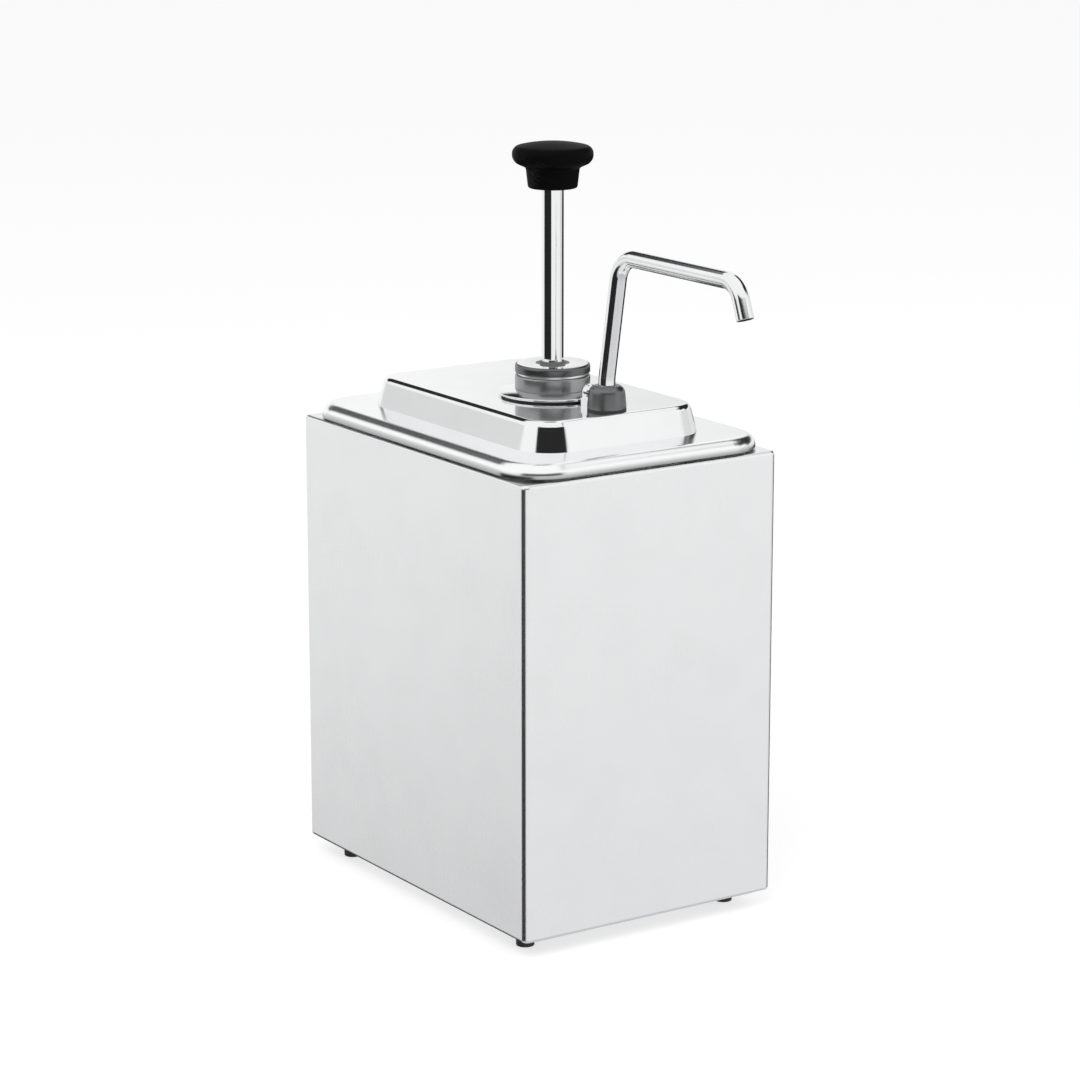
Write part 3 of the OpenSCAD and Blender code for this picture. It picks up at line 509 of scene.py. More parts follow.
@dataclass(frozen=True)
class Move:
    """One step of a bent tube: a straight with a length, or a bend with a radius and an angle."""

    length: float = 0.0
    radius: float = 0.0
    angle: float = 0.0
    steps: int = 1
    flare: float = 1.0


def round_ring(r: float, z: float) -> Ring:
    """Gives a round ring of a loft."""
    return lambda _: (r, z)


def dome(r: float, z: float, edge: float, rise: float, steps: int) -> list[Ring]:
    """Gives rings that round an edge off, from its side to its top."""
    turns = [radians(90.0 * step / steps) for step in range(steps + 1)]
    return [round_ring(r + edge * cos(turn), z + rise * sin(turn)) for turn in turns]


def close_up(bm: BMesh) -> None:
    """Merges doubled points and turns the faces outwards."""
    bmesh.ops.remove_doubles(bm, verts=bm.verts, dist=TINY)
    bmesh.ops.recalc_face_normals(bm, faces=bm.faces)


def spin(
    bm: BMesh, edges: list[BMEdge], centre: Vector, axis: Vector, angle: float, steps: int,
    rise: float = 0.0, merge: bool = False,
) -> list[BMEdge]:
    """Spins edges about an axis.

    Args:
        bm: The mesh.
        edges: The edges to spin.
        centre: Point on the axis.
        axis: The axis.
        angle: How far they go round.
        steps: In how many steps.
        rise: How far they go along the axis with each step.
        merge: Whether the end of a full turn joins its start.

    Returns:
        The edges at the end.
    """
    verts = list(dict.fromkeys(vert for edge in edges for vert in edge.verts))
    grown = bmesh.ops.spin(
        bm, geom=edges + verts, cent=centre, axis=axis, dvec=axis * rise, angle=angle,
        steps=steps, use_merge=merge, use_normal_flip=False, use_duplicate=False,
    )["geom_last"]
    return [part for part in grown if isinstance(part, BMEdge)]


def extrude_ring(bm: BMesh, edges: list[BMEdge]) -> tuple[list[BMVert], list[BMEdge]]:
    """Extrudes a ring of edges on the spot.

    Args:
        bm: The mesh.
        edges: The ring.

    Returns:
        The new ring's vertices and its edges.
    """
    grown = bmesh.ops.extrude_edge_only(bm, edges=edges)["geom"]
    fresh = [part for part in grown if isinstance(part, BMVert)]
    rest = [part for part in grown if isinstance(part, BMEdge)]
    return fresh, [edge for edge in rest if all(vert in fresh for vert in edge.verts)]


def place_object(name: str, data: ID) -> Object:
    """Makes an object and links it to the scene.

    Args:
        name: The object's name.
        data: Its mesh, light or camera.

    Returns:
        The object.
    """
    made = bpy.data.objects.new(name, data)
    bpy.context.scene.collection.objects.link(made)
    return made


def place_mesh(name: str, bm: BMesh) -> Object:
    """Makes an object of a bmesh, which is freed.

    Args:
        name: Name of the mesh and the object.
        bm: The bmesh.

    Returns:
        The object.
    """
    mesh = bpy.data.meshes.new(name)
    bm.to_mesh(mesh)
    bm.free()
    return place_object(name, mesh)


class Workpiece:
    """A mesh in the making: shapes are added to one bmesh, which then becomes a piece."""

    def __init__(self, name: str) -> None:
        """Starts with nothing."""
        self.name = name
        self.bm = bmesh.new()

    def add(self, bm: BMesh, centre: Vector) -> None:
        """Closes up a shape, moves it to its place and adds it to this piece.

        Args:
            bm: The shape, which is freed.
            centre: Where its origin goes.
        """
        close_up(bm)
        bmesh.ops.translate(bm, verts=bm.verts, vec=centre)
        loose = bpy.data.meshes.new("loose")
        bm.to_mesh(loose)
        bm.free()
        self.bm.from_mesh(loose)
        bpy.data.meshes.remove(loose)

    def turn(
        self, profile: Sequence[Corner], centre: Vector, steps: int = 96, closed: bool = True
    ) -> None:
        """Turns a profile about an upright axis, as on a lathe.

        Args:
            profile: Corners from one end of the profile to the other.
            centre: Point on the axis.
            steps: Faces round the axis.
            closed: Whether the last corner joins the first.
        """
        bm = bmesh.new()
        verts = [bm.verts.new((corner.r, 0.0, corner.z)) for corner in profile]
        for pair in zip(verts, verts[1:] + verts[:1] if closed else verts[1:]):
            bm.edges.new(pair)
        for vert, corner in zip(verts, profile):
            if corner.fillet > 0.0:
                bmesh.ops.bevel(
                    bm, geom=[vert], offset=corner.fillet, offset_type="OFFSET",
                    segments=corner.segments, profile=0.5, affect="VERTICES", material=-1,
                )
        spin(bm, list(bm.edges), Vector(), UP, FULL_TURN, steps, merge=True)
        self.add(bm, centre)

    def loft(self, rings: Sequence[Ring], centre: Vector, sides: int = 48) -> None:
        """Extrudes one ring of edges into the next about an upright axis.

        Args:
            rings: For each ring, radius and height as a function of the angle.
            centre: Point on the axis.
            sides: Vertices in a ring.
        """
        bm = bmesh.new()
        loop = bmesh.ops.create_circle(bm, cap_ends=False, segments=sides, radius=1.0)["verts"]
        angles = [atan2(vert.co.y, vert.co.x) for vert in loop]
        edges = list(bm.edges)
        for number, ring in enumerate(rings):
            if number > 0:
                fresh, edges = extrude_ring(bm, edges)
                loop = self._matched(loop, fresh)
            for vert, angle in zip(loop, angles):
                r, z = ring(angle)
                vert.co = Vector((r * cos(angle), r * sin(angle), z))
        self.add(bm, centre)

    @staticmethod
    def _matched(old: Sequence[BMVert], fresh: Sequence[BMVert]) -> list[BMVert]:
        """Gives the new vertex that was extruded from each old one, in the old ones' order."""
        new = set(fresh)
        return [
            next(edge.other_vert(v) for edge in v.link_edges if edge.other_vert(v) in new)
            for v in old
        ]

    def tube(
        self, radius: float, start: Vector, moves: Sequence[Move], sides: int = 96
    ) -> tuple[list[BMEdge], list[BMEdge]]:
        """Pulls a ring of edges along straights and bends that turn towards the front.

        Args:
            radius: The ring's radius.
            start: Its middle, where it faces up.
            moves: Straights and bends in order.
            sides: Vertices in the ring.

        Returns:
            The first ring's edges and the last ring's.
        """
        at_start = Matrix.Translation(start)
        ring = bmesh.ops.create_circle(
            self.bm, cap_ends=False, segments=sides, radius=radius, matrix=at_start
        )["verts"]
        edges = list(dict.fromkeys(edge for vert in ring for edge in vert.link_edges))
        first, place, lean = list(edges), start.copy(), 0.0
        for move in moves:
            if move.angle:
                inwards = Vector((0.0, -cos(lean), -sin(lean)))
                centre = place + move.radius * inwards
                edges = spin(self.bm, edges, centre, SIDEWAYS, move.angle, move.steps)
                place = centre + Matrix.Rotation(move.angle, 3, "X") @ (place - centre)
                lean += move.angle
            else:
                ahead = move.length * Vector((0.0, -sin(lean), cos(lean)))
                fresh, edges = extrude_ring(self.bm, edges)
                bmesh.ops.translate(self.bm, verts=fresh, vec=ahead)
                place = place + ahead
                about = Matrix.Translation(-place)
                bmesh.ops.scale(self.bm, verts=fresh, vec=(move.flare,) * 3, space=about)
        return first, edges

    def finish(self, body: str, node: str, sharp: float = 32.0) -> Object:
        """Makes the piece: smooth faces, sharp edges at real corners, its place in the frame.

        Args:
            body: Body that it rides on.
            node: Solid that it stands for.
            sharp: Angle in degrees above which an edge stays sharp.

        Returns:
            The finished piece.
        """
        for face in self.bm.faces:
            face.smooth = True
        for edge in self.bm.edges:
            if len(edge.link_faces) == 2:
                edge.smooth = edge.calc_face_angle(0.0) < radians(sharp)
        piece = place_mesh(self.name, self.bm)
        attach(piece, body)
        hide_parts(node)
        LOG.info("%s has %d faces", piece.name, len(piece.data.polygons))
        return piece


@dataclass
class Housing:
    """Folded box on rubber feet."""

    palette: Palette
    foot_top: float = 8.8 * MM
    foot_r: float = 5.5 * MM
    foot_tip_r: float = 5.2 * MM
    foot_rim_h: float = 0.8 * MM
    foot_x: float = 69.0 * MM
    foot_y: float = 95.0 * MM
    recess_r: float = 3.3 * MM
    recess_h: float = 4.4 * MM
    mould_ring: float = 0.1 * MM
    mould_low: float = 0.55
    mould_mid: float = 0.58
    mould_high: float = 0.62
    screw_r: float = 1.5 * MM
    screw_clear: float = 0.2 * MM
    screw_point: float = 0.3 * MM
    screw_top: float = 15.4 * MM
    head_r: float = 3.0 * MM
    head_h: float = 1.8 * MM
    cross_w: float = 0.45 * MM
    cross_h: float = 1.1 * MM
    cross_tip_h: float = 0.2 * MM
    cross_taper: float = 0.8
    cross_arm: float = radians(15.0)
    side_screw_y: float = 38.0 * MM
    end_screw_y: float = 105.0 * MM

    def build(self) -> None:
        """Makes the feet and screws and dresses the sheet."""
        feet, plate_spots = [], []
        for side, sx in (("left", -1), ("right", 1)):
            for end, sy in (("front", -1), ("rear", 1)):
                feet.append(Vector((sx * self.foot_x, sy * self.foot_y, 0.0)))
                plate_spots.append(Vector((sx * self.foot_x, sy * self.side_screw_y, 0.0)))
                self._foot(f"{end}_{side}", feet[-1])
        plate_spots += [Vector((0.0, sy * self.end_screw_y, 0.0)) for sy in (-1, 1)]
        self._screws("base_plate_screws", plate_spots, self.foot_top, "base_screws")
        self._screws("foot_fixing_screws", feet, self.recess_h, "foot_screws")
        self.dress()

    def _cross(self, scale: float, z: float) -> Ring:
        """Gives a ring in the shape of a screw's cross recess.

        Args:
            scale: Share of the recess's full size.
            z: Height of the ring.

        Returns:
            Radius and height as a function of the angle.
        """
        half = scale * self.cross_w
        arm = half / tan(self.cross_arm)

        def ring(angle: float) -> tuple[float, float]:
            """Gives the end of an arm at an angle, or its side."""
            off = abs((angle + 0.5 * RIGHT_ANGLE) % RIGHT_ANGLE - 0.5 * RIGHT_ANGLE)
            return (arm / cos(off) if off <= self.cross_arm + TINY else half / sin(off)), z

        return ring

    def _screws(self, name: str, spots: Sequence[Vector], head_z: float, node: str) -> None:
        """Makes pan-head screws with a cross recess, heads down.

        Args:
            name: Name of the group.
            spots: Where the screws stand.
            head_z: Height of the faces under which the heads sit.
            node: The solid that the group stands for.
        """
        low, edge, top = head_z - self.head_h, 0.5 * self.head_h, self.screw_top
        floor_z = low + self.cross_h
        rings = [
            round_ring(TIP_R, top),
            round_ring(self.screw_r - self.screw_point, top),
            round_ring(self.screw_r, top - self.screw_point),
            round_ring(self.screw_r, head_z),
            round_ring(self.head_r, head_z),
            *dome(self.head_r - edge, low + edge, edge, -edge, steps=6),
            self._cross(1.0, low),
            self._cross(self.cross_taper, floor_z),
            round_ring(TIP_R, floor_z + self.cross_tip_h),
        ]
        piece = Workpiece(name)
        for spot in spots:
            piece.loft(rings, spot)
        self.palette.paint(piece.finish("housing", node), "fastener")

    def _foot(self, corner: str, centre: Vector) -> None:
        """Turns one rubber foot with a mould ring and a recess for its screw.

        Args:
            corner: Which corner it is at.
            centre: Its axis on the counter.
        """
        hole = self.screw_r + self.screw_clear
        mid = 0.5 * (self.foot_tip_r + self.foot_r)
        profile = [
            Corner(self.recess_r, 0.0, BROKEN),
            Corner(self.foot_tip_r, 0.0, SOFT),
            Corner(mid - self.mould_ring, self.mould_low * self.foot_top),
            Corner(mid + self.mould_ring, self.mould_mid * self.foot_top),
            Corner(mid, self.mould_high * self.foot_top),
            Corner(self.foot_r, self.foot_top - self.foot_rim_h, BROKEN),
            Corner(self.foot_r, self.foot_top, CRISP),
            Corner(hole, self.foot_top),
            Corner(hole, self.recess_h),
            Corner(self.recess_r, self.recess_h, EASED),
        ]
        piece = Workpiece(f"rubber_foot_{corner}")
        piece.turn(profile, centre, steps=48)
        self.palette.paint(piece.finish("housing", f"foot_{corner}"), "foot")

    def dress(self) -> None:
        """Puts finishes on the solids that stay."""
        self.palette.paint_nodes(housing="housing_shell", plate="base_plate", fastener="base_nuts")


@dataclass
class Pan:
    """Drawn pan that hangs by its flange."""

    palette: Palette

    def dress(self) -> None:
        """Puts its finish on the solid."""
        self.palette.paint_nodes(pan="food_pan")


@dataclass
class PumpHead:
    """Lid, flange, collar and the pump that hangs below."""

    palette: Palette
    sides: int = 128
    flange_z: float = 296.5 * MM
    flange_r: float = 31.0 * MM
    flange_edge: float = 1.3 * MM
    collar_z: float = 299.5 * MM
    collar_r: float = 21.5 * MM
    collar_round: float = 1.2 * MM
    cap_z: float = 307.5 * MM
    cap_round: float = 1.6 * MM
    tier_z: float = 308.8 * MM
    top_z: float = 313.8 * MM
    top_skin: float = 0.05 * MM
    groove: float = 1.5 * MM
    barrel_r: float = 13.0 * MM
    hub_r: float = 16.5 * MM
    hub_z: float = 283.5 * MM
    bore_r: float = 11.5 * MM
    spigot_z: float = 297.5 * MM
    bushing_r: float = 8.55 * MM
    wiper_r: float = 9.55 * MM
    wiper_z: float = 311.3 * MM
    lid_z: float = 295.5 * MM
    gasket_t: float = 1.0 * MM
    stud_y: float = -56.25 * MM
    stud_r: float = 3.0 * MM
    nut_half: float = 5.0 * MM
    nut_hex_h: float = 5.0 * MM
    nut_foot_h: float = 0.15 * MM
    nut_foot_share: float = 0.985
    nut_chamfer: float = 0.3 * MM
    nut_chamfer_slope: float = 0.55
    nut_top_share: float = 0.96
    nut_neck_h: float = 0.1 * MM
    nut_dome_r: float = 4.75 * MM
    nut_h: float = 12.0 * MM
    nut_bore_h: float = 7.3 * MM
    socket_r: float = 11.0 * MM
    socket_h: float = 14.0 * MM
    socket_foot_h: float = 2.0 * MM
    socket_foot_round: float = 0.8 * MM
    socket_taper: float = 1.2 * MM
    socket_shoulder_r: float = 4.0 * MM
    socket_hub_r: float = 8.0 * MM
    socket_hub_z: float = 281.5 * MM
    spout_hole_r: float = 4.8 * MM
    sleeve_r: float = 6.3 * MM
    step_z: float = 293.65 * MM
    seal_z: float = 303.0 * MM
    seal_half: float = 1.3 * MM
    seal_r: float = 7.2 * MM

    def build(self) -> None:
        """Turns the visible rings of the pump head and dresses the rest."""
        flange = [
            Corner(self.barrel_r, self.hub_z),
            Corner(self.hub_r, self.hub_z, SOFT),
            Corner(self.hub_r, self.flange_z),
            Corner(self.flange_r, self.flange_z, CRISP),
            Corner(self.flange_r, self.flange_z + self.flange_edge, SOFT),
            Corner(self.collar_r, self.collar_z),
            Corner(self.barrel_r, self.collar_z),
        ]
        self.palette.paint(self._ring("base_flange", flange, "pump_flange"), "flange")
        lower = [
            Corner(self.barrel_r, self.collar_z),
            Corner(self.collar_r, self.collar_z, EASED),
            Corner(self.collar_r, self.cap_z, self.collar_round, 6),
            Corner(self.barrel_r, self.cap_z),
        ]
        # Painted shade: the lower tier's turned steel is painted mid-grey
        self.palette.paint(self._ring("collar_lower_tier", lower, "union_collar"), "pump_turned")
        upper = [
            Corner(self.bushing_r, self.spigot_z),
            Corner(self.bore_r, self.spigot_z, EASED),
            Corner(self.bore_r, self.cap_z),
            Corner(self.collar_r - self.groove, self.cap_z),
            Corner(self.collar_r - self.groove, self.tier_z),
            Corner(self.collar_r, self.tier_z, EASED),
            Corner(self.collar_r, self.top_z, self.cap_round, 8),
            Corner(self.wiper_r, self.top_z, BROKEN),
            Corner(self.wiper_r, self.wiper_z),
            Corner(self.bushing_r, self.wiper_z),
        ]
        # Painted shade: the cap's turned steel is painted dark grey, while its groove and top face
        # keep a light steel
        cap = self._ring("collar_upper_tier", upper, "gland_cap")
        self.palette.paint(cap, "gland_shaded")
        self.palette.paint_level(cap, "neck", self.cap_z, self.tier_z)
        top_low, top_high = self.top_z - self.top_skin, self.top_z + self.top_skin
        self.palette.paint_level(cap, "flange", top_low, top_high)
        self._cap_nut()
        self._socket()
        self.dress()

    def _ring(self, name: str, profile: Sequence[Corner], node: str) -> Object:
        """Turns one ring about the rod.

        Args:
            name: Name of the piece.
            profile: Its closed section.
            node: The solid that it stands for.

        Returns:
            The piece.
        """
        piece = Workpiece(name)
        piece.turn(profile, ROD_AXIS, self.sides)
        return piece.finish("lid", node)

    def _cap_nut(self) -> None:
        """Makes the domed nut between collar and socket."""
        half, dome_r = self.nut_half, self.nut_dome_r
        flat_z = self.nut_hex_h - self.nut_chamfer

        def hexagon(angle: float) -> float:
            """Gives the hexagon's radius at an angle."""
            return half / cos((angle % (pi / 3.0)) - pi / 6.0)

        def flat_edge(angle: float) -> tuple[float, float]:
            """Gives the top edge of the flats, cut by the chamfer."""
            return hexagon(angle), flat_z - self.nut_chamfer_slope * (hexagon(angle) - half)

        rings = [
            round_ring(TIP_R, self.nut_bore_h),
            round_ring(self.stud_r, self.nut_bore_h),
            round_ring(self.stud_r, 0.0),
            lambda angle: (self.nut_foot_share * hexagon(angle), 0.0),
            lambda angle: (hexagon(angle), self.nut_foot_h),
            flat_edge,
            round_ring(self.nut_top_share * half, self.nut_hex_h),
            round_ring(dome_r, self.nut_hex_h + self.nut_neck_h),
            *dome(0.0, self.nut_h - dome_r, dome_r, dome_r, steps=10)[:-1],
            round_ring(TIP_R, self.nut_h),
        ]
        piece = Workpiece("domed_nut")
        piece.loft(rings, Vector((0.0, self.stud_y, self.lid_z)), sides=72)
        self.palette.paint(piece.finish("lid", "cap_nut", sharp=24.0), "nut")

    def _socket(self) -> None:
        """Turns the round-shouldered socket of the spout."""
        base, top = self.lid_z + self.gasket_t, self.lid_z + self.socket_h
        seal_low, seal_top = self.seal_z - self.seal_half, self.seal_z + self.seal_half
        profile = [
            Corner(self.sleeve_r, self.socket_hub_z),
            Corner(self.socket_hub_r, self.socket_hub_z, SOFT),
            Corner(self.socket_hub_r, base),
            Corner(self.socket_r, base, CRISP),
            Corner(self.socket_r, base + self.socket_foot_h, self.socket_foot_round),
            Corner(self.socket_r - self.socket_taper, top, self.socket_shoulder_r, 12),
            Corner(self.spout_hole_r, top, BROKEN),
            Corner(self.spout_hole_r, seal_top),
            Corner(self.seal_r, seal_top),
            Corner(self.seal_r, seal_low),
            Corner(self.spout_hole_r, seal_low),
            Corner(self.spout_hole_r, self.step_z),
            Corner(self.sleeve_r, self.step_z),
        ]
        piece = Workpiece("spout_holder")
        piece.turn(profile, SPOUT_AXIS)
        # Painted shade: the socket's turned steel is painted dark grey
        self.palette.paint(piece.finish("lid", "spout_socket"), "spout_turned")

    def dress(self) -> None:
        """Puts finishes on the solids that stay."""
        self.palette.paint_nodes(
            lid="lid",
            plate="support_plate",
            gasket="flange_gasket socket_gasket spout_seal",
            white="rod_bushing",
            wiper="rod_wiper",
            # The locknuts, valve body and elbow take the same painted dark steel as the tiers and
            # socket
            pump_turned="pump_locknut valve_body",
            spout_turned="socket_locknut outlet_elbow",
            polished="pump_barrel suction_tube riser_tube",
            fastener="ball_stop_pin",
            ball="inlet_ball outlet_ball",
        )


@dataclass
class ReturnSpring:
    """Coil spring under the piston."""

    palette: Palette
    foot_z: float = 157.5 * MM
    length: float = 124.0 * MM
    packed: float = 34.0 * MM
    coil_r: float = 9.0 * MM
    wire_r: float = 0.8 * MM
    open_turns: int = 12
    end_pitch: float = 2.3 * MM
    steps: int = 40
    sides: int = 16

    def build(self) -> None:
        """Winds the wire, with a close turn at each end."""
        piece = Workpiece("coil_spring")
        foot = ROD_AXIS + UP * self.foot_z
        start = Matrix.Translation(foot + Vector((self.coil_r, 0.0, self.wire_r)))
        upright = start @ Matrix.Rotation(RIGHT_ANGLE, 4, "X")
        bmesh.ops.create_circle(
            piece.bm, cap_ends=False, segments=self.sides, radius=self.wire_r, matrix=upright
        )
        edges = list(piece.bm.edges)
        first = list(edges)
        pitch = (self.length - 2.0 * (self.wire_r + self.end_pitch)) / self.open_turns
        for turns, rise in ((1, self.end_pitch), (self.open_turns, pitch), (1, self.end_pitch)):
            angle, steps = FULL_TURN * turns, self.steps * turns
            edges = spin(piece.bm, edges, ROD_AXIS, UP, angle, steps, rise / self.steps)
        bmesh.ops.edgeloop_fill(piece.bm, edges=first + edges)
        close_up(piece.bm)
        made = piece.finish("lid", "return_spring")
        self.palette.paint(made, "spring")
        self.packed / self.length
        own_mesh(made)


@dataclass
class Plunger:
    """Knob, rod and piston."""

    palette: Palette
    sides: int = 128
    knob_z: float = 413.8 * MM
    knob_h: float = 26.0 * MM
    brim_r: float = 23.0 * MM
    brim_t: float = 3.1 * MM
    edge_r: float = 3.5 * MM
    dome_rise: float = 2.2 * MM
    dome_shares: tuple[float, ...] = (0.88, 0.74, 0.6, 0.46, 0.32, 0.18)
    skirt_r: float = 14.0 * MM
    skirt_h: float = 11.5 * MM
    skirt_round: float = 1.2 * MM
    draft: float = 1.3 * MM
    rod_r: float = 6.25 * MM
    rod_clear: float = 0.05 * MM
    recess_h: float = 3.0 * MM
    insert_r: float = 7.0 * MM
    insert_l: float = 14.0 * MM

    def build(self) -> None:
        """Turns the knob and dresses the rest."""
        edge_x = self.brim_r - self.edge_r
        edge_top = self.knob_h - self.dome_rise - self.edge_r
        skirt_top = Vector((self.skirt_r + self.draft, self.skirt_h))
        reach = Vector((edge_x, edge_top - self.brim_t)) - skirt_top
        slope = atan2(reach.y, reach.x) - asin(self.edge_r / reach.length)
        flare_z = skirt_top.y + (self.brim_r - skirt_top.x) * tan(slope)
        dome_tilt = atan2(2.0 * self.dome_rise, edge_x)
        brim_z = edge_top + self.edge_r - self.edge_r * tan(dome_tilt)
        recess = self.rod_r + self.rod_clear
        insert_top = self.recess_h + self.insert_l
        profile = [
            Corner(0.0, insert_top),
            Corner(self.insert_r, insert_top),
            Corner(self.insert_r, self.recess_h),
            Corner(recess, self.recess_h),
            Corner(recess, 0.0, EASED),
            Corner(self.skirt_r, 0.0, self.skirt_round, 5),
            Corner(skirt_top.x, skirt_top.y, self.skirt_round, 6),
            Corner(self.brim_r, flare_z, self.edge_r, 14),
            Corner(self.brim_r, brim_z, self.edge_r, 12),
            *[
                Corner(edge_x * share, self.knob_h - self.dome_rise * share**2)
                for share in self.dome_shares
            ],
            Corner(0.0, self.knob_h),
        ]
        knob = Workpiece("mushroom_knob")
        knob.turn(profile, ROD_AXIS + UP * self.knob_z, self.sides, closed=False)
        self.palette.paint(knob.finish("plunger", "knob", sharp=50.0), "knob")
        self.dress()

    def dress(self) -> None:
        """Puts finishes on the solids that stay."""
        self.palette.paint_nodes(
            brass="knob_insert",
            polished="plunger_rod",
            white="piston",
            gasket="piston_seals",
            fastener="piston_washer piston_nut",
        )


@dataclass
class Spout:
    """Swan-neck tube that turns in its socket."""

    palette: Palette
    tube_r: float = 4.75 * MM
    wall: float = 1.0 * MM
    foot_z: float = 291.5 * MM
    stop_r: float = 6.25 * MM
    stop_t: float = 2.0 * MM
    stop_sink: float = 0.1 * MM
    upright: float = 20.0 * MM
    lean_r: float = 20.0 * MM
    lean: float = radians(10.5)
    rise: float = 70.0 * MM
    crest_r: float = 16.0 * MM
    run: float = 107.0 * MM
    outlet_r: float = 14.0 * MM
    outlet_lean: float = radians(21.0)
    outlet_drop: float = 19.0 * MM
    deburr: float = 0.25 * MM

    def moves(self, radius: float, flare: float) -> list[Move]:
        """Lists the tube's straights and bends.

        Args:
            radius: Radius of the skin that is pulled along.
            flare: How much the skin grows at its cut end.

        Returns:
            The moves from foot to outlet.
        """
        crest_turn = RIGHT_ANGLE - self.lean
        outlet_turn = RIGHT_ANGLE - self.outlet_lean
        crest_cut = self.crest_r * tan(crest_turn / 2.0)
        outlet_cut = self.outlet_r * tan(outlet_turn / 2.0)
        lean_cut = self.lean_r * tan(self.lean / 2.0)
        drop = self.outlet_drop / cos(self.outlet_lean)
        return [
            Move(length=self.upright),
            Move(radius=self.lean_r, angle=self.lean, steps=6),
            Move(length=self.rise / cos(self.lean) - lean_cut - crest_cut),
            Move(radius=self.crest_r, angle=crest_turn, steps=28),
            Move(length=self.run - crest_cut - outlet_cut),
            Move(radius=self.outlet_r, angle=outlet_turn, steps=26),
            Move(length=drop - outlet_cut - self.deburr),
            Move(length=self.deburr, flare=(radius + flare) / radius),
        ]

    def build(self) -> None:
        """Bends the tube and adds the stop at its foot."""
        piece = Workpiece("swan_neck")
        start = SPOUT_AXIS + UP * self.foot_z
        bore_r = self.tube_r - self.wall
        outer = piece.tube(self.tube_r, start, self.moves(self.tube_r, -self.deburr))
        inner = piece.tube(bore_r, start, self.moves(bore_r, self.deburr))
        for outer_end, inner_end in zip(outer, inner):
            bmesh.ops.bridge_loops(piece.bm, edges=outer_end + inner_end)
        close_up(piece.bm)
        sunk = self.tube_r - self.stop_sink
        stop = [
            Corner(sunk, 0.0),
            Corner(self.stop_r, 0.0, BROKEN),
            Corner(self.stop_r, self.stop_t, BROKEN),
            Corner(sunk, self.stop_t),
        ]
        piece.turn(stop, start, steps=64)
        self.palette.paint(piece.finish("spout", "spout", sharp=40.0), "spout")


@dataclass(frozen=True)
class DarkPart:
    """A dark stretch of the room, in degrees: right of the camera's side, above the horizon."""

    turn: float
    half: float
    low: float
    high: float
    soft: float = 3.0
    depth: float = 1.0
    least_half: float = 0.5

    def mask(self, shader: Shader, level: Node, height: Value, side: float) -> Value:
        """Draws the stretch.

        Args:
            shader: The world's tree.
            level: Node that gives the level direction.
            height: Upward part of the direction.
            side: Bearing of the camera's side.

        Returns:
            1 in a fully dark stretch and 0 elsewhere.
        """
        bearing = radians(side - self.turn)
        middle = (sin(bearing), cos(bearing), 0.0)
        along = shader.value(shader.vector("DOT_PRODUCT", level, middle), "Value")
        spread = (self.half + self.soft, max(self.half - self.soft, self.least_half))
        across = along.step(*(cos(radians(edge)) for edge in spread))
        above_low, above_high = (
            height.step(*(sin(radians(edge + off)) for off in (-self.soft, self.soft)))
            for edge in (self.low, self.high)
        )
        return across * above_low * (1.0 - above_high) * self.depth


@dataclass(frozen=True)
class SoftBox:
    """A square area light."""

    name: str
    place: Triple
    size: float
    power: float


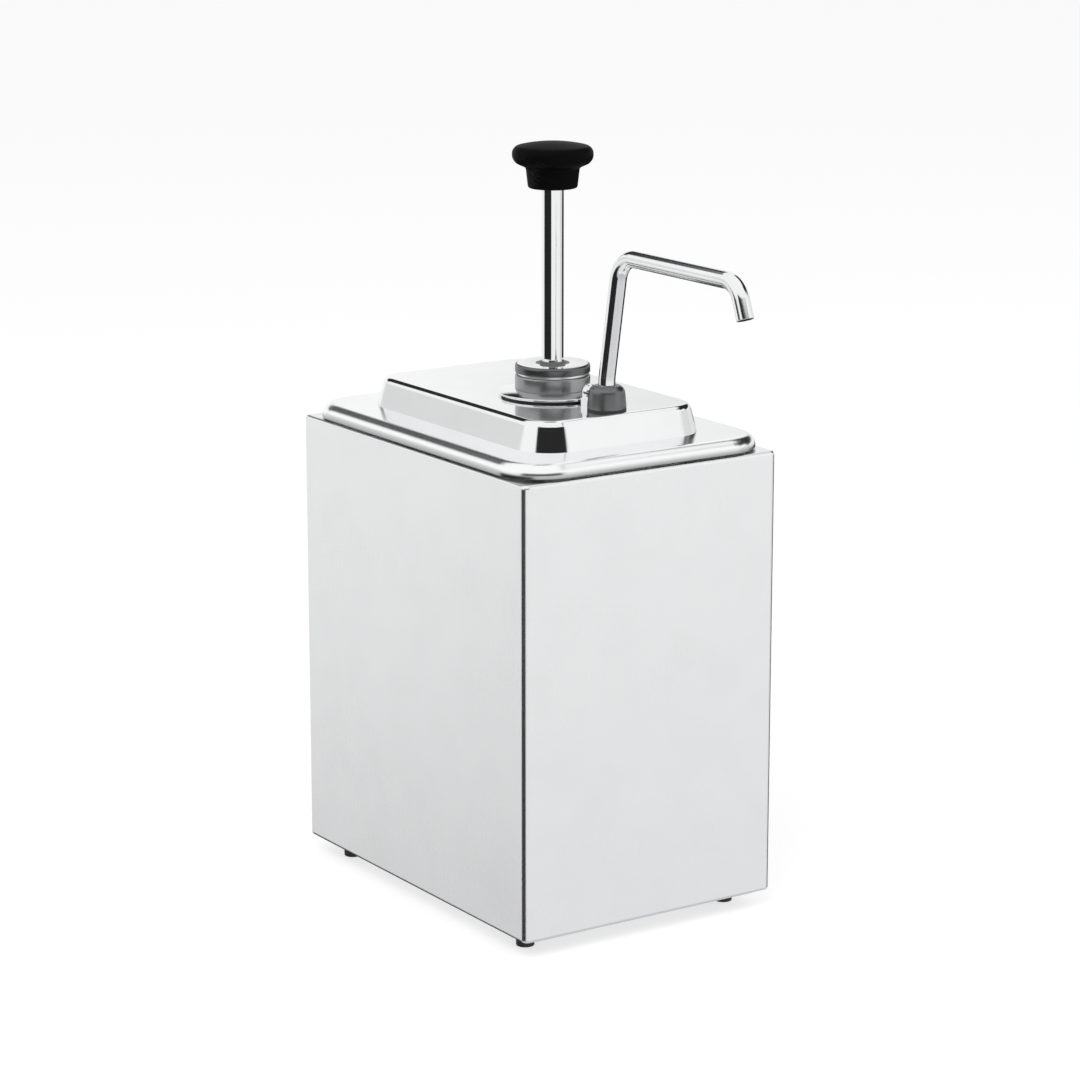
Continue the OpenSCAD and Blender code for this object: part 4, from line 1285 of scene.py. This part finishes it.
@dataclass
class Studio:
    """Floor, lights, surroundings and the camera at the photograph's place."""

    sensor: float = 36.0
    photo_px: float = 1080.0
    focal_px: float = 3500.0
    clip: tuple[float, float] = (0.05, 50.0)
    place: Triple = (-1.0918, -1.6512, 0.6779)
    azimuth: float = 33.57
    elevation: float = 13.41
    floor_size: float = 8.0
    paper: Triple = (0.86, 0.86, 0.86)
    paper_glow: float = 1.35
    paper_glow_share: float = 0.5
    boxes: tuple[SoftBox, ...] = (
        SoftBox("key_box", (-1.6, -1.2, 2.2), 1.8, 34.0),
        SoftBox("fill_box", (1.8, -1.4, 1.6), 1.6, 14.0),
    )
    boxes_aim: Triple = (0.0, 0.0, 0.2)
    air_glow: float = 0.62
    # From straight below at 0 to straight above at 1
    walls: tuple[tuple[float, Triple], ...] = (
        (0.0, (0.55, 0.55, 0.56)),
        (0.22, (0.66, 0.66, 0.67)),
        (0.337, (0.80, 0.80, 0.805)),
        (0.40, (0.93, 0.93, 0.93)),
        (0.456, WHITE),
    )
    darkness: Triple = (0.02, 0.02, 0.02)
    dark_parts: tuple[DarkPart, ...] = (
        DarkPart(-56.0, 42.0, -40.0, 3.0),
        DarkPart(7.0, 48.0, 8.0, 28.0),
        DarkPart(-153.5, 22.5, 21.0, 40.0),
        DarkPart(-150.0, 32.0, -48.0, -21.0, 4.0),
        DarkPart(138.0, 24.0, 12.0, 48.5),
        DarkPart(106.0, 12.0, 27.0, 47.5),
        DarkPart(148.0, 34.0, -30.0, -6.0, 2.0),
        DarkPart(140.0, 16.0, -9.0, 4.0, 5.0, 0.2),
        DarkPart(-114.0, 18.0, -3.0, 12.0, 6.0, 0.24),
        DarkPart(160.0, 20.0, 4.0, 18.0, 3.0, 0.14),
        DarkPart(104.0, 20.0, -16.0, 14.0, 6.0, 0.22),
    )

    def build(self) -> None:
        """Sets the stage."""
        self._camera()
        self._floor()
        self._lights()
        self._world()
        bpy.context.scene.view_settings.view_transform = "Standard"

    @staticmethod
    def _aim(thing: Object, place: Triple, ahead: Vector) -> None:
        """Puts a camera or a light in its place and points it.

        Args:
            thing: The camera or the light.
            place: Where it goes.
            ahead: Where it looks.
        """
        thing.location = place
        thing.rotation_mode = "QUATERNION"
        thing.rotation_quaternion = ahead.to_track_quat("-Z", "Y")

    def _camera(self) -> None:
        """Makes the camera."""
        data = bpy.data.cameras.new("camera")
        data.sensor_width = self.sensor
        data.lens = self.focal_px / self.photo_px * self.sensor
        data.clip_start, data.clip_end = self.clip
        camera = place_object("camera", data)
        across, down = radians(self.azimuth), radians(self.elevation)
        level = cos(down)
        ahead = Vector((sin(across) * level, cos(across) * level, -sin(down)))
        self._aim(camera, self.place, ahead)
        bpy.context.scene.camera = camera

    def _floor(self) -> None:
        """Lays a plain pale floor that takes the object's shadow."""
        bm = bmesh.new()
        bmesh.ops.create_grid(bm, x_segments=1, y_segments=1, size=self.floor_size)
        floor = place_mesh("floor", bm)
        floor.visible_glossy = False
        made = bpy.data.materials.new("floor_paper")
        shader = Shader(made)
        paper = shader.node("BsdfDiffuse", {"Color": rgba(self.paper)})
        glow = self._light(shader, "Emission", rgba(WHITE), self.paper_glow)
        seen = shader.rays("Camera", "Transmission")
        surface = shader.mix(seen * self.paper_glow_share, paper, glow)
        shader.node("OutputMaterial", {"Surface": surface})
        floor.data.materials.append(made)

    @staticmethod
    def _light(shader: Shader, kind: str, colour: Link, strength: float) -> Node:
        """Adds a node that gives off light."""
        return shader.node(kind, {"Color": colour, "Strength": strength})

    def _lights(self) -> None:
        """Hangs the soft boxes."""
        for box in self.boxes:
            data = bpy.data.lights.new(box.name, "AREA")
            data.shape = "SQUARE"
            data.size = box.size
            data.energy = box.power
            light = place_object(box.name, data)
            self._aim(light, box.place, Vector(self.boxes_aim) - Vector(box.place))
            light.visible_glossy = False
            light.visible_camera = False

    def _world(self) -> None:
        """Makes white surroundings, with the dark parts of the room that polished steel shows."""
        world = bpy.data.worlds.new("studio")
        bpy.context.scene.world = world
        shader = Shader(world)
        direction = shader.node("TexCoord").outputs["Generated"]
        level = shader.vector("NORMALIZE", shader.vector("MULTIPLY", direction, LEVEL))
        height = shader.split(direction)[2]
        walls = shader.node("ValToRGB", {0: height * 0.5 + 0.5})
        stops = walls.color_ramp.elements
        for place, _ in self.walls[1:-1]:
            stops.new(place)
        for stop, (place, colour) in zip(stops, self.walls):
            stop.position, stop.color = place, rgba(colour)
        # The camera looks along its azimuth, so its own side is the opposite one
        side = self.azimuth + 180.0
        masks = [part.mask(shader, level, height, side) for part in self.dark_parts]
        shown = shader.blend(reduce(Value.most, masks), walls, rgba(self.darkness))
        backdrop = "Background"
        air = self._light(shader, backdrop, rgba(WHITE), self.air_glow)
        room = self._light(shader, backdrop, shown, 1.0)
        white = self._light(shader, backdrop, rgba(WHITE), 1.0)
        lit = shader.mix(shader.rays("Glossy"), air, room)
        surface = shader.mix(shader.rays("Camera", "Transmission"), lit, white)
        shader.node("OutputWorld", {"Surface": surface})


def main() -> None:
    """Builds the scene."""
    logging.basicConfig(level=logging.INFO, format="%(message)s")
    palette = Palette()
    Studio().build()
    Housing(palette).build()
    Pan(palette).dress()
    PumpHead(palette).build()
    ReturnSpring(palette).build()
    Plunger(palette).build()
    Spout(palette).build()


if __name__ == "__main__":
    main()
